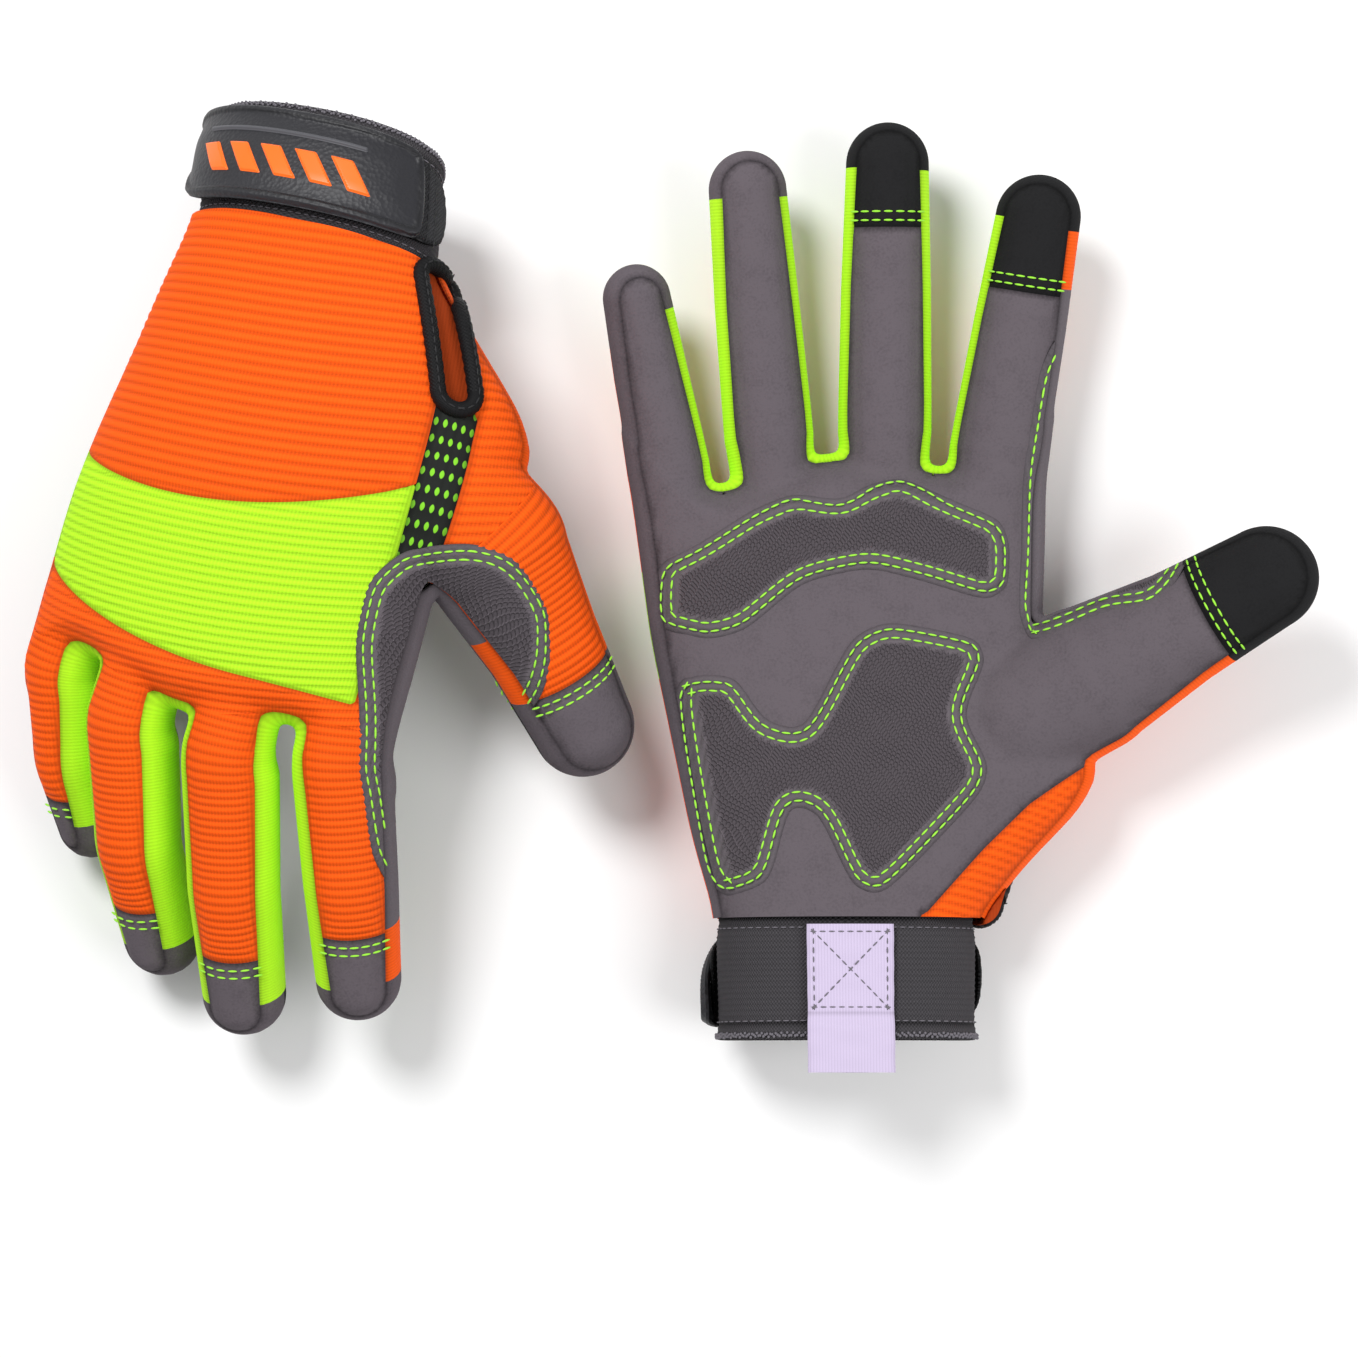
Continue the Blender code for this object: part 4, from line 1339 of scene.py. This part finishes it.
def makeCuff(name):
    # a closed ribbed band all round the wrist, with its hem and seams stitched
    count, vs = wrist["sides"], np.arange(0.0, cuff["length"] + cuff["step"] / 2, cuff["step"])
    ribs = [math.cos(2 * math.pi * v / cuff["ribPitch"]) for v in vs]
    angles = np.linspace(0.0, 360.0, count, endpoint=False)
    grid = np.array([
        sectionPoints(angles, v, cuff["ribHeight"] * rib + hump(v, "hem") + hump(v, "waist"))
        for v, rib in zip(vs, ribs)])
    world = placeSkin(grid.reshape(-1, 3), name, "hand").reshape(len(vs), count, 3)
    across = np.roll(world, -1, axis=1) - np.roll(world, 1, axis=1)
    normals = unit(np.cross(across, np.gradient(world, axis=0)))
    flip = np.sum((world - world.mean(axis=(0, 1))) * normals) < 0
    normals = -normals if flip else normals
    faces = []
    for i in range(len(vs) - 1):
        for j in range(count):
            k = (j + 1) % count
            face = (i * count + j, i * count + k, (i + 1) * count + k, (i + 1) * count + j)
            faces.append(face[::-1] if flip else face)
    uv = np.stack([np.tile(np.arange(count) * wrist["facet"], len(vs)), np.repeat(vs, count)],
                  axis=1)
    # painted shade along the fold above the hem, under the top edge and rising and falling with
    # the ribs
    shade = [hump(v, "foldShade") + hump(v, "innerShade") + cuff["ribShade"] * (1 + rib)
             for v, rib in zip(vs, ribs)]
    obj = makePiece(f"{name}.cuffElastic", world.reshape(-1, 3), faces, normals.reshape(-1, 3),
                    uv, materials["elastic"], cuff["wall"], np.repeat(shade, count))
    fasten(obj, name, "hand", None, ["cuff_band"])
    turns = np.arange(cuff["turns"] + 1)
    low, out = cuff["overlock"]
    rings = [(low + cuff["zigzag"] * (turns % 2), out)]
    rings += [(np.full(len(turns), v), out) for v, out in cuff["seams"]]
    place = [placeSkin(sectionPoints(360.0 / cuff["turns"] * turns, v, out), name, "hand")
             for v, out in rings]
    makeStitches("hemOverlock", name, "hand", None, place[:1], "overlock")
    makeStitches("cuffSeams", name, "hand", None, place[1:], "grey")


strap = {
    # the strap lies on the back of the wrist; distances from the section's middle, in mm
    "tabLoop": [(-42, 9), (-40, 24), (-30, 28), (42, 28.5), (42, 4.5), (-36, 5)],
    "coverLoop": [(-45, 10.5), (-41, 18), (-33, 27.5), (-26, 29.5), (28, 29), (31, 26),
                  (31, 7), (28, 4), (-32, 3), (-43, 4.5), (-45.5, 7)],
    "loopPatch": [(-34, 7.5), (-34, 25.5), (14, 25.5), (14, 7.5)],
    "patchLift": 1.4, "patchWall": 1.0, "tabLift": 1.9, "tabCrown": 0.6, "tabWall": 1.1,
    "coverLift": 4.7, "coverEdge": 1.3, "rim": 1.5, "sunk": 0.55, "bulge": 0.5,
    "coverWall": 1.6, "barWall": 0.5,
    # where the strap would bend when it peels, from the cuff's side to the strap's; fasten works
    # out these points but nothing uses them
    "bend": (39.0, 32.0), "middle": 16.0,
    # a plain emblem: slanted bars over a thin line, as half widths and half heights
    "bars": (-21, -12.5, -4, 4.5, 13), "barHeight": 18.6, "bar": (2.6, 4.0), "slant": 0.55,
    "line": (-4, 10.6, 20.5, 0.7), "raise": 0.55,
    "rootRows": (33.2, 35.6), "rootLift": 2.6, "edgeRows": (5.6, 27.6), "edgeLift": 2.75,
}


def capLoop(loop, times=3):
    return insideLoop(roundLoop(loop, times))


def makeEmblem(name, coverLift):
    bars = [(x, strap["barHeight"], *strap["bar"], strap["slant"]) for x in strap["bars"]]
    for i, (x, v, halfX, halfV, slant) in enumerate(bars + [(*strap["line"], 0.0)]):
        corners = [(x + sx * halfX + sv * halfV * slant, v + sv * halfV)
                   for sx, sv in ((-1, -1), (1, -1), (1, 1), (-1, 1))]
        dense = [(a[0] + (b[0] - a[0]) * k / 6, a[1] + (b[1] - a[1]) * k / 6)
                 for a, b in zip(corners, corners[1:] + corners[:1]) for k in range(6)]
        shape = insideLoop(roundLoop(dense, 1))
        box = lattice((x - halfX - 4, v - halfV - 1), (x + halfX + 4, v + halfV + 1),
                      (0.35, 0.35))

        def raised(a, b, shape=shape):
            return coverLift(a, b) + 0.1 + strap["raise"] * smooth(shape(a, b) / 0.45)

        look = "emblem" if slant else "emblemGrey"
        wrapSheet(f"strapEmblem{i + 1}", name, "strap", cut(box, shape), raised, look,
                  strap["barWall"])


def makeStrap(name):
    coarse, fine = (lattice((-48, 1), (44, 31), steps) for steps in ((0.9, 0.75), (0.7, 0.5)))
    tabField, coverField = capLoop(strap["tabLoop"]), capLoop(strap["coverLoop"])

    def tabLift(x, v):
        return strap["tabLift"] + strap["tabCrown"] * smooth(tabField(x, v) / 1.0)

    def coverLift(x, v):
        d = coverField(x, v)
        field = strap["sunk"] * smooth((d - strap["rim"] - 0.4) / 0.7)
        bulge = strap["bulge"] * smooth((d - 3.0) / 6.0)
        edge = strap["coverEdge"]
        return strap["coverLift"] - edge + edge * smooth(d / 0.9) - field + bulge

    wrapSheet("strapLoopPatch", name, "hand", trimmed(coarse, [capLoop(strap["loopPatch"])]),
              lambda x, v: strap["patchLift"] + 0 * x, "loop", strap["patchWall"],
              nodes=["loop_patch"])
    # painted shade on the tab, darker towards its edge
    wrapSheet("strapTab", name, "strap", trimmed(coarse, [tabField]), tabLift, "hem",
              strap["tabWall"], nodes=["strap_tab"], part="root",
              shade=lambda x, v: 0.7 * np.exp(-np.maximum(tabField(x, v), 0) / 0.6))
    # painted shade in a ring where the cover's rim steps down to its sunken middle
    wrapSheet("strapCover", name, "strap", trimmed(fine, [coverField]), coverLift, "rubber",
              strap["coverWall"], nodes=["strap_cover"],
              shade=lambda x, v: 0.9 * np.exp(-(((coverField(x, v) - 1.9) / 0.5) ** 2)))
    makeEmblem(name, coverLift)
    rows = [wrapLine(np.full(28, x), np.linspace(7, 26, 28), name, strap["rootLift"])
            for x in strap["rootRows"]]
    makeStitches("strapRootStitches", name, "strap", "root", rows, "dark")
    rows = [wrapLine(np.linspace(-24, 31, 90), np.full(90, v), name, strap["edgeLift"])
            for v in strap["edgeRows"]]
    makeStitches("strapEdgeStitches", name, "strap", None, rows, "dark")


pullTab = {"half": 12.5, "low": -9.0, "high": 30.0, "fold": 6.5, "lift": 1.9, "sag": 0.7,
           "wave": 0.12, "wall": 1.3, "margin": 2.0, "boxStart": 1.6, "stitchLift": 2.32}


def makePullTab(name):
    half, low, high, fold = (pullTab[key] for key in ("half", "low", "high", "fold"))
    sheet = lattice((-half, low), (half, high), (half / 12, 0.6))

    def lift(x, v):
        sag = pullTab["sag"] * smooth((fold - v) / 4.0)
        wave = pullTab["wave"] * np.sin(v * 0.9) * np.cos(x * 0.25)
        return pullTab["lift"] + sag + wave + 0.35 * smooth((half - np.abs(x)) / 1.0)

    # painted shade along the tab's sides and in its fold
    def shade(x, v):
        side = np.exp(-(half - np.abs(x)) / 0.7)
        return 0.35 * side + 0.45 * np.exp(-(((v - fold) / 0.5) ** 2))

    wrapSheet("pullTab", name, "hand", sheet, lift, "tape", pullTab["wall"], "palm", shade,
              ["pull_tab"])
    side, high = half - pullTab["margin"], high - pullTab["margin"]
    low = fold + pullTab["boxStart"]
    box = [(-side, low), (side, low), (side, high), (-side, high)]
    runs = list(zip(box, box[1:] + box[:1])) + [(box[0], box[2]), (box[1], box[3])]
    k = np.linspace(0, 1, 40)
    lines = [wrapLine(a + (c - a) * k, b + (d - b) * k, name, pullTab["stitchLift"], "palm")
             for (a, b), (c, d) in runs]
    makeStitches("pullTabStitches", name, "hand", None, lines, "grey")


def tubeAlong(path, outward, radius, sides):
    # points and faces of a tube round a closed path in world millimetres
    count = len(path)
    tangent = unit(np.roll(path, -1, axis=0) - np.roll(path, 1, axis=0))
    side = unit(np.cross(tangent, outward))
    up = np.cross(side, tangent)
    angles = np.arange(sides) * 2 * math.pi / sides
    ring = np.cos(angles)[None, :, None] * side[:, None, :] + \
        np.sin(angles)[None, :, None] * up[:, None, :]
    points = path[:, None, :] + ring * np.asarray(radius).reshape(-1, 1, 1)
    faces = [(i * sides + j, i * sides + (j + 1) % sides,
              (i + 1) % count * sides + (j + 1) % sides, (i + 1) % count * sides + j)
             for i in range(count) for j in range(sides)]
    return points.reshape(-1, 3), faces, ring.reshape(-1, 3)


def makeSlit(name):
    start, end = np.array(slit["start"]), np.array(slit["end"])
    d = unit(end - start)
    side = np.array([d[1], -d[0]])
    path, half = [], slit["half"] + slit["lip"]
    for turn in np.linspace(0, 2 * math.pi, 97)[:-1]:
        anchor = end if math.cos(turn) > 0 else start
        path.append(anchor + half * (d * math.cos(turn) + side * math.sin(turn)))
    dense = []
    for a, b in zip(path, path[1:] + path[:1]):
        n = max(1, int(np.linalg.norm(b - a) / slit["step"]))
        dense += [a + (b - a) * k / n for k in range(n)]
    dense = np.array(dense)
    points, normals = skinSurface(dense[:, 0], dense[:, 1], name, "hand", "back",
                                  lambda a, b: np.zeros_like(a) + slit["lift"])
    count, sides = len(points), slit["sides"]
    radius = slit["tube"] + slit["puckers"] * np.sin(np.arange(count) * 2.1)
    tube, faces, ring = tubeAlong(points, normals, radius, sides)
    a, b, c, _ = faces[0]
    if np.dot(np.cross(tube[b] - tube[a], tube[c] - tube[b]), ring[a]) < 0:
        faces = [face[::-1] for face in faces]
    uv = np.stack([np.repeat(np.arange(count) * slit["step"], sides),
                   np.tile(np.arange(sides), count)], axis=1)
    obj = makePiece(f"{name}.slitBinding", tube, faces, ring, uv, materials["binding"])
    fasten(obj, name, "hand", None, ["slit_binding"])
    row = points + normals * slit["stitchLift"]
    makeStitches("slitStitches", name, "hand", None, [np.concatenate([row, row[:1]])], "dark")
    # the inside seen through the vent, in a darker copy of the orange knit: painted shade
    reach = slit["half"] + slit["liningReach"]
    lining = cut(lattice((28, 28), (52, 72), slit["liningSteps"]),
                 lambda u, v: capsule(u, v, slit["start"], slit["end"], reach, reach))
    skinSheet("slitLining", name, "hand", None, "back", lining,
              lambda u, v: 0 * u - slit["liningDepth"], "orangeShaded", 0.8)


for gloveName in gloves:
    makeCuff(gloveName)
    makeStrap(gloveName)
    makePullTab(gloveName)
    makeSlit(gloveName)
print("stage: wrists ready")


# Studio: a white floor, soft light from above and a camera straight over the pair.
studio = {"camera": (2.97, -25.27, 700.0), "lens": 67.4, "floor": 1.8, "world": 0.45,
          "floorLook": {"colour": (0.93, 0.93, 0.93), "finish": None, "rough": 0.6},
          # place, size in metres and power in watts
          "lights": {"keyLight": ((-0.35, 0.45, 0.8), 0.35, 7.0),
                     "fillLight": ((0.6, -0.2, 0.7), 0.6, 4.0)}}


def makeFloor():
    half = studio["floor"] / 2
    mesh = bpy.data.meshes.new("studioFloor")
    mesh.from_pydata([(-half, -half, 0), (half, -half, 0), (half, half, 0), (-half, half, 0)], [],
                     [(0, 1, 2, 3)])
    floor = bpy.data.objects.new("studioFloor", mesh)
    bpy.context.scene.collection.objects.link(floor)
    mesh.materials.append(makeMaterial("studioFloor", studio["floorLook"]))
    floor.location.z = -0.0005


def makeLight(name, place, size, power):
    data = bpy.data.lights.new(name, "AREA")
    data.shape, data.size, data.energy = "DISK", size, power
    light = bpy.data.objects.new(name, data)
    light.location = place
    light.rotation_euler = (-Vector(place)).to_track_quat("-Z", "Y").to_euler()
    bpy.context.scene.collection.objects.link(light)


def makeCamera():
    data = bpy.data.cameras.new("studioCamera")
    data.sensor_width, data.lens = 36.0, studio["lens"]
    data.clip_start, data.clip_end = 0.01, 10.0
    camera = bpy.data.objects.new("studioCamera", data)
    camera.location = Vector(studio["camera"]) * mm
    bpy.context.scene.collection.objects.link(camera)
    bpy.context.scene.camera = camera


makeFloor()
for lightName, settings in studio["lights"].items():
    makeLight(lightName, *settings)
world = bpy.data.worlds.new("studioWorld")
bpy.context.scene.world = world
world.use_nodes = True
background = world.node_tree.nodes["Background"]
background.inputs["Color"].default_value = (1.0, 1.0, 1.0, 1.0)
background.inputs["Strength"].default_value = studio["world"]
bpy.context.scene.view_settings.view_transform = "Standard"
makeCamera()
